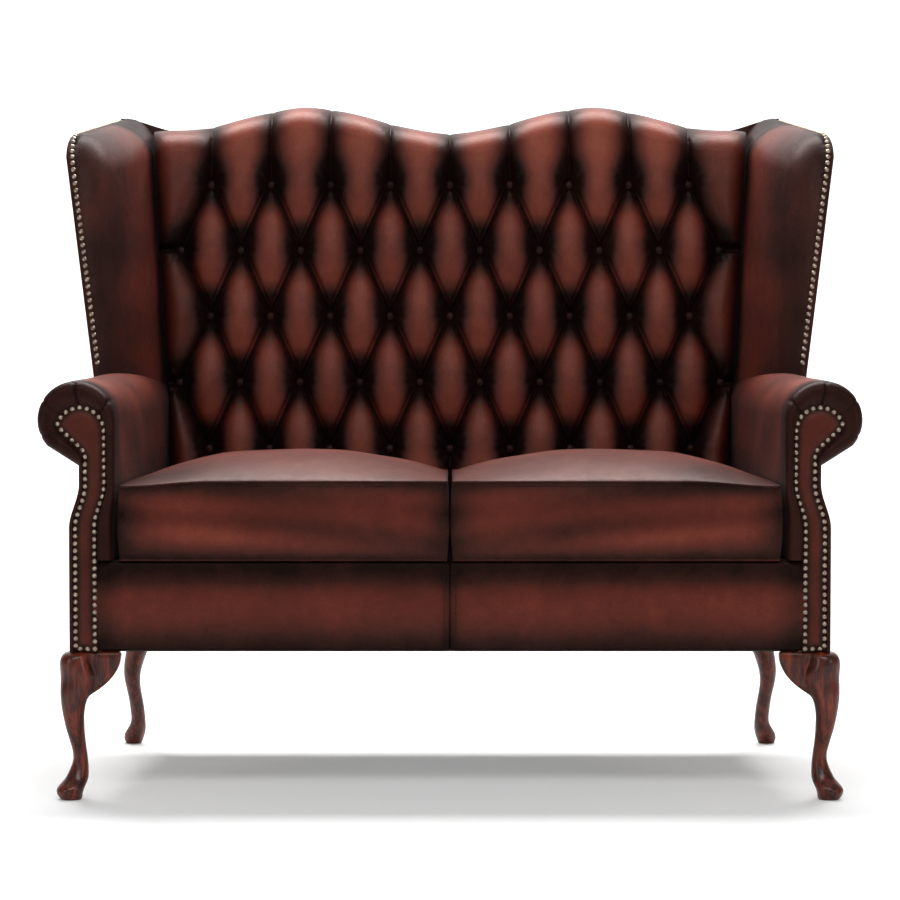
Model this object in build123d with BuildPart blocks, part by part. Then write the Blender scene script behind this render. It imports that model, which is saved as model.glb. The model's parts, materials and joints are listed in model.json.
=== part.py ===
from build123d import *

import os
from math import cos, hypot, radians, sin, sqrt, tan

# A two-seat wing settee in deep-buttoned leather, on cabriole legs.
# Millimetres. +X is to the right of someone who looks at the front, +Y goes to the back and
# +Z is up. The origin lies on the floor below the middle of the sofa's box.

# Overall plan and lean
WIDTH = 1300.0
DEPTH = 790.0
TOE_OVERHANG = 20.0
SIDE_TAPER = 0.085
BACK_RAKE = 11.0

# Clearances
SOFT_GAP = 0.3
CUSHION_GAP = 3.0
WIRE_CLEARANCE = 0.1
BOLT_CLEARANCE = 0.1

# Heights, each one above the one before
LEG_HEIGHT = 234.0
RAIL_HEIGHT = 120.0
SPRING_LIFT = 5.0
PLATFORM_THICKNESS = 18.0
CUSHION_BORDER = 124.0
ARM_RISE = 308.0
BACK_RISE = 758.0

# Seat frame
RAIL_THICKNESS = 28.0
SIDE_RAIL_WIDTH = 40.0
BRACE_WIDTH = 40.0
BRACE_DROP = 20.0
BLOCK_LEG = 70.0
BLOCK_DROP = 20.0
SPRING_COUNT = 8
SPRING_PITCH = 110.0
SPRING_SWING = 25.0
SPRING_RUN = 26.0
SPRING_BEND = 8.0
SPRING_TAIL = 34.0
WIRE_DIAMETER = 4.0
CLIP_WIDTH = 22.0
CLIP_LENGTH = 16.0
COVER_CLOTH = 1.5
COVER_MARGIN = 8.0

# Front border
BORDER_SETBACK = 2.0
BORDER_THICKNESS = 20.0
BORDER_BULGE = 8.0

# Arms
ROLL_RADIUS = 61.0
ARM_PAD = 24.0
STUMP_WIDTH = 28.0
STUMP_DEPTH = 45.0
ARM_RAIL_WIDTH = 60.0
ARM_RAIL_INSET = 12.0
ARM_RAIL_BELOW = 18.0
ARM_RAIL_ABOVE = 16.0
OUTSIDE_SKIN = 6.0
KICK = 16.0
KICK_START = 76.0
KICK_RISE = 70.0
RIM_PROUD = 4.0
RIM_ROUND = 6.0
FACING_THICKNESS = 12.0
FACING_RIM = 11.0
SCROLL_RADIUS = 43.0
SCROLL_DROP = 18.0
SCROLL_TURN = 170.0
SCROLL_CORNER = 12.0
NECK_CORNER = 8.0

# Back
BACK_PANEL = 8.0
BACK_FRAME = 36.0
STRAP_THICKNESS = 3.0
STRAP_WIDTH = 50.0
STRAP_COUNT = 5
PAD_THICKNESS = 70.0
BACK_TUCK = 4.0
BACK_FLARE = 0.067
CENTRE_DIP = 45.0
SIDE_DIP = 40.0
HUMP_X = 248.0
SIDE_DIP_X = 472.0
TOP_WRAP = 20.0
TOP_RAIL_HEIGHT = 70.0
LOWER_RAIL_RISE = 76.0
LOWER_RAIL_HEIGHT = 40.0
POST_WIDTH = 50.0
POST_MARGIN = 14.0
CENTRE_POST_WIDTH = 44.0

# Buttoning
BUTTON_PITCH = 103.0
BUTTON_ROW_STEP = 113.0
BUTTON_ROWS = 5
BUTTON_COLUMNS = 9
BUTTON_TOP_DROP = 136.0
BUTTON_RADIUS = 9.0
BUTTON_DOME = 5.0
BUTTON_SEAT = 0.05
TUFT_HEIGHT = 28.0
TUFT_SINK = 2.0
TUFT_STEEPEST = 0.42
TUFT_SHARES = (0.11, 0.32, 0.56, 0.79, 1.0)
HOLLOW = 11.0
PLEAT = 3.0
SIDE_SWELL = 20.0
SIDE_TIP = 7.0
SIDE_SEAM = 8.0
FLUTE_FOOT = 10.0
FLUTE_SWELLS = ((0.2, TUFT_HEIGHT), (0.6, 24.0), (1.0, FLUTE_FOOT))
EDGE_SEAM = 6.0

# Wings
WING_REACH = 348.0
WING_FOOT_OUT = 34.0
WING_LEAN = 0.18
WING_SPLAY = 0.2115
WING_FLARE = 0.29
WING_FRONT_DROP = 56.0
WING_REAR_DROP = 16.0
WING_CORNER = 70.0
WING_ROUND = 18.0
WING_BOARD = 26.0
WING_BOARD_WIDTH = 40.0
WING_BOARD_INSET = 22.0

# Nails
NAIL_RADIUS = 3.9
NAIL_HEIGHT = 2.2
NAIL_PITCH = 11.5
NAIL_INSET = 5.5
WING_NAIL_INSET = 12.0
WING_NAIL_RUN = 0.85
NAIL_SEAT = 0.05

# Loose cushions
CUSHION_SETBACK = 2.0
CUSHION_CROWN = 33.0
CUSHION_BULGE = 5.0
CUSHION_DRAW = 4.0
CUSHION_EDGE = 8.0
COVER_LEATHER = 2.5

# A cushion station is a share of the way back, how much of the edge is rounded off, how much
# of the crown stands there, and how much of the draw-in of the sides shows.
CUSHION_STATIONS = [
    (0.0, 1.0, 0.12, 0.0),
    (0.012, 0.3, 0.26, 0.0),
    (0.035, 0.0, 0.4, 0.1),
    (0.15, 0.0, 0.72, 0.6),
    (0.32, 0.0, 0.94, 0.9),
    (0.5, 0.0, 1.0, 1.0),
    (0.7, 0.0, 0.86, 0.8),
    (0.88, 0.0, 0.5, 0.3),
    (0.965, 0.0, 0.25, 0.1),
    (0.988, 0.3, 0.15, 0.0),
    (1.0, 1.0, 0.08, 0.0),
]

# Legs. A station is a share of the leg's height, how far its middle has moved out, and its
# radius.
LEG_TOP_RADIUS = 27.0
FRONT_LEG_INSET = 2.0
FRONT_LEG_STATIONS = [
    (0.0, 22.0, 16.0),
    (0.035, 23.5, 20.0),
    (0.065, 23.5, 21.5),
    (0.13, 15.0, 19.0),
    (0.19, 10.5, 15.5),
    (0.265, 8.0, 12.0),
    (0.37, 11.0, 12.3),
    (0.5, 16.0, 15.5),
    (0.62, 18.0, 19.0),
    (0.73, 15.0, 24.5),
    (0.85, 11.0, 28.5),
    (1.0, 0.0, LEG_TOP_RADIUS),
]
EAR_REACH = 58.0
EAR_THICKNESS = 24.0
EAR_OFFSET = 8.0
EAR_PROFILE = [(-54.0, 0.9), (-36.0, 0.79), (-13.0, 0.715), (9.0, 0.655)]
REAR_LEG_INSET = 27.0
REAR_TOP_RADIUS = 22.0
REAR_LEG_STATIONS = [
    (0.0, 28.0, 92.0, 13.0),
    (0.04, 28.0, 92.0, 17.0),
    (0.08, 25.5, 88.0, 17.5),
    (0.13, 21.0, 80.0, 15.0),
    (0.22, 18.5, 68.0, 12.3),
    (0.31, 20.0, 57.0, 12.3),
    (0.44, 24.0, 42.0, 12.5),
    (0.53, 25.5, 33.0, 14.0),
    (0.64, 22.0, 24.0, 16.5),
    (0.8, 12.0, 10.0, 20.0),
    (1.0, 0.0, 0.0, REAR_TOP_RADIUS),
]
BOLT_RADIUS = 4.0
BOLT_IN_LEG = 32.0
BOLT_IN_FRAME = 30.0
BOLT_SHIFT = 6.0

# Levels worked out from the sizes above
RAIL_TOP = LEG_HEIGHT + RAIL_HEIGHT
SPRING_Z = RAIL_TOP + SPRING_LIFT
PLATFORM_BASE = SPRING_Z + WIRE_DIAMETER / 2 + SOFT_GAP
PLATFORM_TOP = PLATFORM_BASE + PLATFORM_THICKNESS
CUSHION_BASE = PLATFORM_TOP + SOFT_GAP
ARM_BASE = PLATFORM_TOP + SOFT_GAP
CUSHION_TOP = CUSHION_BASE + CUSHION_BORDER
ARM_TOP = RAIL_TOP + ARM_RISE
HEIGHT = RAIL_TOP + BACK_RISE
KICK_LOW = RAIL_TOP + KICK_START
KICK_HIGH = KICK_LOW + KICK_RISE

# Places across the right-hand arm, at the front
ROLL_X = WIDTH / 2 - ROLL_RADIUS
ROLL_Z = ARM_TOP - ROLL_RADIUS
ARM_INNER = ROLL_X - ROLL_RADIUS
FRAME_X = ARM_INNER + ARM_PAD
STUMP_OUT = FRAME_X + STUMP_WIDTH
NECK_OUT = STUMP_OUT + SOFT_GAP + OUTSIDE_SKIN
BASE_OUT = NECK_OUT + KICK
RAIL_OUT = FRAME_X + SIDE_RAIL_WIDTH

# Places from front to back
FACE_Y = -DEPTH / 2 + TOE_OVERHANG
STUMP_FRONT = FACE_Y + FACING_THICKNESS
STUMP_BACK = STUMP_FRONT + STUMP_DEPTH
RAIL_FRONT = FACE_Y + BORDER_SETBACK + BORDER_THICKNESS
RAIL_BACK = RAIL_FRONT + RAIL_THICKNESS

# Layers of the back, measured forward from its outside
FRAME_IN = BACK_PANEL + BACK_FRAME
STRAP_IN = FRAME_IN + STRAP_THICKNESS
PAD_IN = STRAP_IN + PAD_THICKNESS

RAKE = tan(radians(BACK_RAKE))
TAPER_LENGTH = hypot(1.0, SIDE_TAPER)
BACKWARD = (-SIDE_TAPER, 1.0, 0.0)
FORWARD_NORMAL = (0.0, -cos(radians(BACK_RAKE)), sin(radians(BACK_RAKE)))

os.makedirs("parts", exist_ok=True)


def drawn_in(y):
    """How far the tapering sides have closed in at depth y."""
    return (y - FACE_Y) * SIDE_TAPER


def back_y(z, forward):
    """Depth at height z of the raked layer that lies forward of the outside back."""
    return DEPTH / 2 - (HEIGHT - z) * RAKE - forward


def raked_plane(forward):
    """The leaning plane of that layer, facing backward."""
    normal = tuple(-n for n in FORWARD_NORMAL)
    return Plane(origin=(0, back_y(HEIGHT, forward), HEIGHT), x_dir=(1, 0, 0), z_dir=normal)


def arm_plane(y):
    """An upright plane across the right arm, shifted with the taper."""
    return Plane(origin=(-drawn_in(y), y, 0), x_dir=(1, 0, 0), z_dir=(0, -1, 0))


def back_half(z):
    """Half the width of the inside back at height z."""
    at_arm = ARM_INNER - drawn_in(back_y(ROLL_Z, PAD_IN)) + BACK_TUCK
    return at_arm + (z - ROLL_Z) * BACK_FLARE


def wing_outer(y, z):
    """Outer face of the right wing."""
    foot_y = back_y(ARM_TOP, WING_REACH)
    foot_x = ROLL_X - drawn_in(foot_y) + WING_FOOT_OUT
    return foot_x + (z - ARM_TOP) * WING_LEAN - (y - foot_y) * WING_SPLAY


def wing_inner(y, z):
    """Inner face of the right wing, which meets the inside back at its edge."""
    return back_half(z) + SOFT_GAP + max(back_y(z, PAD_IN) - y, 0.0) * WING_FLARE


def save(piece, name):
    """Name one finished piece and write it."""
    piece.label = name
    export_step(piece, f"parts/{name}.step")


def save_pair(piece, name):
    """Write a right-hand piece and its mirror image."""
    save(piece, f"{name}_right")
    with BuildPart() as other_side:
        mirror(piece, about=Plane.YZ, mode=Mode.ADD)
    save(other_side.part, f"{name}_left")


def arm_prism(section, front, back):
    """Run a section of the right arm backward along the taper."""
    with BuildPart() as prism:
        with BuildSketch(arm_plane(front)):
            add(section)
        extrude(amount=(back - front) * TAPER_LENGTH, dir=BACKWARD)
    return prism.part


def raked_slab(outline, outer, inner):
    """A front-view outline, kept between two leaning layers of the back."""
    with BuildPart() as slab:
        with BuildSketch(Plane.XZ):
            add(outline)
        extrude(amount=DEPTH, both=True)
        split(bisect_by=raked_plane(outer), keep=Keep.BOTTOM)
        split(bisect_by=raked_plane(inner), keep=Keep.TOP)
    return slab.part


def rectangle(low, high):
    """A plain rectangle between two corners."""
    with BuildSketch() as plain:
        with Locations(((low[0] + high[0]) / 2, (low[1] + high[1]) / 2)):
            Rectangle(high[0] - low[0], high[1] - low[1])
    return plain.sketch


def polygon(points):
    """A closed straight-sided outline."""
    with BuildSketch() as shape:
        with BuildLine():
            Polyline(*points, close=True)
        make_face()
    return shape.sketch


def plate(points, low, high):
    """A plan outline with upright sides."""
    with BuildPart() as piece:
        with BuildSketch(Plane.XY.offset(low)):
            add(polygon(points))
        extrude(amount=high - low)
    return piece.part


def both_sides(points):
    """Points of the right half, in order, followed by their mirror images."""
    return points + [(-x, y) for x, y in reversed(points)]


def bolt_hole(place, height, align):
    """Cut a leg bolt's hole into the piece at hand, up or down from the top of the leg."""
    with Locations((*place, LEG_HEIGHT)):
        Cylinder(
            BOLT_RADIUS + BOLT_CLEARANCE,
            height,
            align=(Align.CENTER, Align.CENTER, align),
            mode=Mode.SUBTRACT,
        )


# Places of the legs and their bolts on the right side

FRONT_LEG_X = BASE_OUT + FRONT_LEG_INSET - LEG_TOP_RADIUS
FRONT_LEG_Y = FACE_Y - FRONT_LEG_INSET + LEG_TOP_RADIUS
REAR_LEG_Y = back_y(LEG_HEIGHT, BACK_PANEL + BACK_FRAME / 2)
REAR_LEG_X = BASE_OUT - drawn_in(REAR_LEG_Y) - REAR_LEG_INSET
FRONT_BOLT = (
    FRAME_X + STUMP_WIDTH / 2 + BOLT_SHIFT,
    STUMP_FRONT + STUMP_DEPTH / 2 - BOLT_SHIFT,
)
REAR_BOLT = (REAR_LEG_X, REAR_LEG_Y)

# Wooden seat frame

with BuildPart() as seat_front_rail:
    front_end = (FRAME_X - drawn_in(RAIL_FRONT), RAIL_FRONT)
    back_end = (FRAME_X - drawn_in(RAIL_BACK), RAIL_BACK)
    add(plate(both_sides([front_end, back_end]), LEG_HEIGHT, RAIL_TOP))
save(seat_front_rail.part, "seat_front_rail")

FAR_BACK = DEPTH / 2
rail_side = Plane(origin=(RAIL_OUT, FACE_Y, 0), x_dir=(0, 0, 1), z_dir=(1, SIDE_TAPER, 0))

with BuildPart() as seat_back_rail:
    add(raked_slab(rectangle((0, LEG_HEIGHT), (RAIL_OUT, RAIL_TOP)), BACK_PANEL, FRAME_IN))
    split(bisect_by=rail_side, keep=Keep.BOTTOM)
    bolt_hole(REAR_BOLT, BOLT_IN_FRAME, Align.MIN)
    mirror(about=Plane.YZ)
save(seat_back_rail.part, "seat_back_rail")

with BuildPart() as seat_side_rail:
    section = rectangle((FRAME_X, LEG_HEIGHT), (RAIL_OUT, RAIL_TOP))
    add(arm_prism(section, STUMP_BACK, FAR_BACK))
    split(bisect_by=raked_plane(FRAME_IN), keep=Keep.BOTTOM)
save_pair(seat_side_rail.part, "seat_side_rail")

with BuildPart() as seat_centre_brace:
    half = BRACE_WIDTH / 2
    across = [(half, RAIL_BACK), (half, FAR_BACK)]
    add(plate(both_sides(across), LEG_HEIGHT, RAIL_TOP - BRACE_DROP))
    split(bisect_by=raked_plane(FRAME_IN), keep=Keep.BOTTOM)
save(seat_centre_brace.part, "seat_centre_brace")


def side_point(y):
    """A point on the inner face of the right side rail."""
    return (FRAME_X - drawn_in(y), y)


BLOCK_LOW = LEG_HEIGHT + BLOCK_DROP
BLOCK_HIGH = RAIL_TOP - BLOCK_DROP

with BuildPart() as rear_block:
    corner = side_point(back_y(BLOCK_LOW, FRAME_IN))
    rear_end = back_y(BLOCK_HIGH, FRAME_IN)
    points = [side_point(corner[1] - BLOCK_LEG), side_point(rear_end)]
    points += [(corner[0] - BLOCK_LEG, rear_end), (corner[0] - BLOCK_LEG, corner[1])]
    add(plate(points, BLOCK_LOW, BLOCK_HIGH))
    split(bisect_by=raked_plane(FRAME_IN), keep=Keep.BOTTOM)

with BuildPart() as corner_blocks:
    corner = side_point(RAIL_BACK)
    points = [corner, side_point(RAIL_BACK + BLOCK_LEG), (corner[0] - BLOCK_LEG, RAIL_BACK)]
    add(plate(points, BLOCK_LOW, BLOCK_HIGH))
    add(rear_block.part)
    mirror(about=Plane.YZ)
save(corner_blocks.part, "corner_blocks")

# Arms

with BuildSketch() as facing_outline:
    inner_neck, outer_neck = ARM_INNER + FACING_RIM, STUMP_OUT
    with BuildLine():
        Line((inner_neck + KICK, LEG_HEIGHT), (inner_neck + KICK, KICK_LOW))
        upright = [(0, 1), (0, 1)]
        Spline((inner_neck + KICK, KICK_LOW), (inner_neck, KICK_HIGH), tangents=upright)
        Line((inner_neck, KICK_HIGH), (inner_neck, ROLL_Z - SCROLL_DROP))
        scroll = JernArc((inner_neck, ROLL_Z - SCROLL_DROP), (0, 1), SCROLL_RADIUS, -SCROLL_TURN)
        neck_top = ROLL_Z - ROLL_RADIUS + NECK_CORNER
        Line(scroll @ 1, (outer_neck, neck_top))
        Line((outer_neck, neck_top), (outer_neck, KICK_HIGH))
        downright = [(0, -1), (0, -1)]
        Spline((outer_neck, KICK_HIGH), (outer_neck + KICK, KICK_LOW), tangents=downright)
        Line((outer_neck + KICK, KICK_LOW), (outer_neck + KICK, LEG_HEIGHT))
        Line((outer_neck + KICK, LEG_HEIGHT), (inner_neck + KICK, LEG_HEIGHT))
    make_face()
    scroll_end = facing_outline.vertices().sort_by_distance(scroll @ 1)[0]
    fillet(scroll_end, SCROLL_CORNER)
    neck_end = facing_outline.vertices().sort_by_distance((outer_neck, neck_top, 0))[0]
    fillet(neck_end, NECK_CORNER)

with BuildPart() as arm_facing:
    add(arm_prism(facing_outline.sketch, FACE_Y, STUMP_FRONT))
save_pair(arm_facing.part, "arm_facing")

with BuildPart() as arm_stump:
    section = rectangle((FRAME_X, LEG_HEIGHT), (STUMP_OUT, ROLL_Z - ARM_RAIL_BELOW))
    add(arm_prism(section, STUMP_FRONT, STUMP_BACK))
    bolt_hole(FRONT_BOLT, BOLT_IN_FRAME, Align.MIN)
save_pair(arm_stump.part, "arm_stump")

with BuildPart() as arm_top_rail:
    rail_left = FRAME_X - ARM_RAIL_INSET
    corner = (rail_left + ARM_RAIL_WIDTH, ROLL_Z + ARM_RAIL_ABOVE)
    section = rectangle((rail_left, ROLL_Z - ARM_RAIL_BELOW), corner)
    add(arm_prism(section, STUMP_FRONT, FAR_BACK))
    split(bisect_by=raked_plane(FRAME_IN), keep=Keep.BOTTOM)
save_pair(arm_top_rail.part, "arm_top_rail")

with BuildSketch() as arm_section:
    under_roll = ROLL_Z - sqrt(ROLL_RADIUS**2 - (ROLL_X - FRAME_X) ** 2)
    with BuildLine():
        Line((ARM_INNER + KICK, ARM_BASE), (ARM_INNER + KICK, KICK_LOW))
        Spline((ARM_INNER + KICK, KICK_LOW), (ARM_INNER, KICK_HIGH), tangents=[(0, 1), (0, 1)])
        Line((ARM_INNER, KICK_HIGH), (ARM_INNER, ROLL_Z))
        crest = (ROLL_X, ROLL_Z + ROLL_RADIUS)
        outermost = (ROLL_X + ROLL_RADIUS, ROLL_Z)
        ThreePointArc((ARM_INNER, ROLL_Z), crest, outermost)
        ThreePointArc(outermost, (ROLL_X, ROLL_Z - ROLL_RADIUS), (FRAME_X, under_roll))
        Line((FRAME_X, under_roll), (FRAME_X, ARM_BASE))
        Line((FRAME_X, ARM_BASE), (ARM_INNER + KICK, ARM_BASE))
    make_face()

with BuildSketch() as roll_circle:
    with Locations((ROLL_X, ROLL_Z)):
        Circle(ROLL_RADIUS + SOFT_GAP)

RIM_FRONT = FACE_Y - RIM_PROUD
roll_clearance = arm_prism(roll_circle.sketch, RIM_FRONT, FAR_BACK)

with BuildSketch() as skin_section:
    skin_in = OUTSIDE_SKIN
    with BuildLine():
        Line((BASE_OUT, LEG_HEIGHT), (BASE_OUT, KICK_LOW))
        Spline((BASE_OUT, KICK_LOW), (NECK_OUT, KICK_HIGH), tangents=[(0, 1), (0, 1)])
        Line((NECK_OUT, KICK_HIGH), (NECK_OUT, ROLL_Z))
        Line((NECK_OUT, ROLL_Z), (NECK_OUT - skin_in, ROLL_Z))
        Line((NECK_OUT - skin_in, ROLL_Z), (NECK_OUT - skin_in, KICK_HIGH))
        ends = [(NECK_OUT - skin_in, KICK_HIGH), (BASE_OUT - skin_in, KICK_LOW)]
        Spline(*ends, tangents=[(0, -1), (0, -1)])
        Line((BASE_OUT - skin_in, KICK_LOW), (BASE_OUT - skin_in, LEG_HEIGHT))
        Line((BASE_OUT - skin_in, LEG_HEIGHT), (BASE_OUT, LEG_HEIGHT))
    make_face()

with BuildPart() as outside_arm:
    add(arm_prism(skin_section.sketch, FACE_Y, FAR_BACK))
    split(bisect_by=raked_plane(BACK_PANEL + SOFT_GAP), keep=Keep.BOTTOM)
    add(roll_clearance, mode=Mode.SUBTRACT)
save_pair(outside_arm.part, "outside_arm")

# Wooden back frame


def top_edge(drop, ends):
    """Half the humped top edge, from the middle outward, lowered by drop."""
    peak = (HUMP_X, HEIGHT - drop)
    knots = [(0, HEIGHT - CENTRE_DIP - drop), peak, (SIDE_DIP_X, HEIGHT - SIDE_DIP - drop)]
    return knots + ends


def humped_outline(drop, sides, ends):
    """A front-view outline with the humped top. Sides run up the right, ends finish the top."""
    knots = top_edge(drop, ends)
    level = [(1, 0), (1, 0)]
    with BuildSketch() as shape:
        with BuildLine():
            for start, stop in zip(knots, knots[1:]):
                Spline(start, stop, tangents=level)
            Polyline(knots[-1], *reversed(sides), (0, sides[0][1]), knots[0])
        make_face()
        mirror(about=Plane.YZ)
    return shape.sketch


def post_outer(z):
    """Outer edge of the right back post, just inside the wing's outer skin."""
    return wing_outer(back_y(z, BACK_PANEL), z) - OUTSIDE_SKIN - POST_MARGIN


POST_TOP = HEIGHT - SIDE_DIP - TOP_WRAP
TOP_RAIL_BASE = HEIGHT - CENTRE_DIP - TOP_WRAP - TOP_RAIL_HEIGHT
LOWER_RAIL_BASE = RAIL_TOP + LOWER_RAIL_RISE

with BuildPart() as back_post:
    points = [(post_outer(RAIL_TOP), RAIL_TOP), (post_outer(POST_TOP), POST_TOP)]
    points += [(x - POST_WIDTH, z) for x, z in reversed(points)]
    add(raked_slab(polygon(points), BACK_PANEL, FRAME_IN))
save_pair(back_post.part, "back_post")


def post_inner(z):
    """Inner edge of the right back post."""
    return post_outer(z) - POST_WIDTH


frame_cap_half = back_half(HEIGHT) + BACK_TUCK
frame_sides = [(frame_cap_half, TOP_RAIL_BASE)]
frame_ends = [(frame_cap_half, HEIGHT - SIDE_DIP - TOP_WRAP)]

with BuildPart() as back_top_rail:
    outline = humped_outline(TOP_WRAP, frame_sides, frame_ends)
    add(raked_slab(outline, BACK_PANEL, FRAME_IN))
    between = [(post_inner(TOP_RAIL_BASE), TOP_RAIL_BASE), (post_inner(HEIGHT), HEIGHT)]
    between_posts = polygon(both_sides(between))
    with BuildSketch(Plane.XZ):
        add(between_posts)
    extrude(amount=DEPTH, both=True, mode=Mode.INTERSECT)
save(back_top_rail.part, "back_top_rail")

with BuildPart() as back_lower_rail:
    levels = (LOWER_RAIL_BASE, LOWER_RAIL_BASE + LOWER_RAIL_HEIGHT)
    between = [(post_inner(z), z) for z in levels]
    add(raked_slab(polygon(both_sides(between)), BACK_PANEL, FRAME_IN))
save(back_lower_rail.part, "back_lower_rail")

with BuildPart() as back_centre_post:
    half = CENTRE_POST_WIDTH / 2
    foot = LOWER_RAIL_BASE + LOWER_RAIL_HEIGHT
    add(raked_slab(rectangle((-half, foot), (half, TOP_RAIL_BASE)), BACK_PANEL, FRAME_IN))
save(back_centre_post.part, "back_centre_post")

with BuildPart() as back_webbing:
    lowest = LOWER_RAIL_BASE + LOWER_RAIL_HEIGHT + STRAP_WIDTH
    step = (TOP_RAIL_BASE - STRAP_WIDTH - lowest) / (STRAP_COUNT - 1)
    for index in range(STRAP_COUNT):
        middle = lowest + index * step
        ends = (middle - STRAP_WIDTH / 2, middle + STRAP_WIDTH / 2)
        reach = back_half(ends[0]) - BACK_TUCK
        strap = rectangle((-reach, ends[0]), (reach, ends[1]))
        add(raked_slab(strap, FRAME_IN, STRAP_IN))
save(back_webbing.part, "back_webbing")

# Wings


WING_FOOT = ROLL_Z
OUTER_SLOPE = (1.0, WING_SPLAY, -WING_LEAN)
INNER_SLOPE = (1.0, WING_FLARE, -BACK_FLARE - WING_FLARE * RAKE)
SIDE_SLOPE = (1.0, 0.0, -BACK_FLARE)


def outer_plane(inset):
    """The wing's outer face, moved inward by inset."""
    foot_y = back_y(ARM_TOP, WING_REACH)
    origin = (wing_outer(foot_y, ARM_TOP) - inset, foot_y, ARM_TOP)
    return Plane(origin=origin, x_dir=(0, WING_LEAN, WING_SPLAY), z_dir=OUTER_SLOPE)


def inner_plane(slope):
    """One of the wing's two inner faces, through the edge of the inside back."""
    origin = (back_half(ARM_TOP) + SOFT_GAP, back_y(ARM_TOP, PAD_IN), ARM_TOP)
    return Plane(origin=origin, z_dir=slope)


def wing_outline(inset, foot, corner):
    """Side view of the wing, as (y, z), drawn in from its front and top edges by inset."""
    front_top = HEIGHT - WING_FRONT_DROP - inset
    rear_top = HEIGHT - WING_REAR_DROP - inset
    points = [
        (back_y(foot, WING_REACH - inset), foot),
        (back_y(front_top, WING_REACH - inset), front_top),
        (back_y(rear_top, 0), rear_top),
        (back_y(foot, 0), foot),
    ]
    with BuildSketch() as side:
        with BuildLine():
            Polyline(*points, close=True)
        make_face()
        nose = side.vertices().sort_by_distance((*points[1], 0))[0]
        fillet(nose, corner)
    return side.sketch


def wing_piece(inset, foot, corner, rear, outer):
    """The wing's side view run across, cut by its outer face and a leaning layer of the back."""
    with BuildPart() as piece:
        with BuildSketch(Plane.YZ):
            add(wing_outline(inset, foot, corner))
        extrude(amount=WIDTH)
        split(bisect_by=outer_plane(outer), keep=Keep.BOTTOM)
        split(bisect_by=raked_plane(rear), keep=Keep.BOTTOM)
    return piece.part


with BuildPart() as wing_board:
    foot = ROLL_Z + ARM_RAIL_ABOVE
    nose = WING_CORNER - WING_BOARD_INSET
    add(wing_piece(WING_BOARD_INSET, foot, nose, FRAME_IN, OUTSIDE_SKIN))
    split(bisect_by=outer_plane(OUTSIDE_SKIN + WING_BOARD), keep=Keep.TOP)
    inside_edge = WING_BOARD_INSET + WING_BOARD_WIDTH
    with BuildSketch(Plane.YZ):
        add(wing_outline(inside_edge, foot, WING_CORNER))
    extrude(amount=WIDTH, mode=Mode.SUBTRACT)
save_pair(wing_board.part, "wing_board")

with BuildPart() as outside_wing:
    add(wing_piece(0, WING_FOOT, WING_CORNER, BACK_PANEL + SOFT_GAP, 0))
    split(bisect_by=outer_plane(OUTSIDE_SKIN), keep=Keep.TOP)
    add(roll_clearance, mode=Mode.SUBTRACT)
save_pair(outside_wing.part, "outside_wing")

with BuildPart() as wing_pad:
    add(wing_piece(0, WING_FOOT, WING_CORNER, BACK_PANEL + SOFT_GAP, OUTSIDE_SKIN))
    split(bisect_by=inner_plane(SIDE_SLOPE), keep=Keep.TOP)
    split(bisect_by=inner_plane(INNER_SLOPE), keep=Keep.TOP)
    noses = wing_pad.edges().filter_by(GeomType.ELLIPSE).sort_by(Axis.X)
    fillet(noses[0], WING_ROUND)
    add(roll_clearance, mode=Mode.SUBTRACT)
    add(wing_board.part, mode=Mode.SUBTRACT)
    add(back_post.part, mode=Mode.SUBTRACT)
save_pair(wing_pad.part, "wing_pad")

# Inside back with its buttoning

PAD_BASE = PLATFORM_BASE
pad_sides = [(back_half(PAD_BASE), PAD_BASE)]
pad_ends = [(back_half(HEIGHT - SIDE_DIP), HEIGHT - SIDE_DIP)]
pad_outline = humped_outline(0, pad_sides, pad_ends)
frame_zone_sides = [(WIDTH, PAD_BASE - TOP_WRAP)]
frame_zone_ends = [(WIDTH, HEIGHT - SIDE_DIP - TOP_WRAP)]
frame_zone = raked_slab(humped_outline(TOP_WRAP, frame_zone_sides, frame_zone_ends), 0, STRAP_IN)

BUTTON_TOP = HEIGHT - BUTTON_TOP_DROP


def row_z(row):
    """Height of a button row. Row 0 is the top one."""
    return BUTTON_TOP - row * BUTTON_ROW_STEP


def row_columns(row):
    """Places across of the buttons in a row. Odd rows have one button more."""
    count = BUTTON_COLUMNS + row % 2
    return [(column - (count - 1) / 2) * BUTTON_PITCH for column in range(count)]


def swelling(stations):
    """A stuffed form on the inside back through (height, left, right, swell) stations."""
    with BuildPart() as form:
        for z, left, right, swell in stations:
            chord = back_y(z, PAD_IN) + TUFT_SINK
            with BuildSketch(Plane.XY.offset(z)):
                with BuildLine():
                    Line((left, chord), (right, chord))
                    crest = ((left + right) / 2, chord - TUFT_SINK - swell)
                    ThreePointArc((right, chord), crest, (left, chord))
                make_face()
        loft(ruled=True)
    return form.part


def swell_of(share, width):
    """Swell of a form that narrows to a tip, kept under a half circle."""
    return min(TUFT_HEIGHT * sqrt(share), TUFT_STEEPEST * width - TUFT_SINK)


def tapered(column, row, share, side):
    """A station of a diamond about a row, where share of its width is left, above or below."""
    half = min(BUTTON_PITCH / 2 * share - PLEAT / 2, BUTTON_PITCH / 2 - HOLLOW)
    z = row_z(row) + side * (1 - share) * BUTTON_ROW_STEP
    return (z, column - half, column + half, swell_of(share, 2 * half))


def diamond(column, row):
    """A full diamond between four buttons, about the middle of a row."""
    lower = [tapered(column, row, share, -1) for share in TUFT_SHARES]
    upper = [tapered(column, row, share, 1) for share in reversed(TUFT_SHARES[:-1])]
    return swelling(lower + upper)


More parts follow.
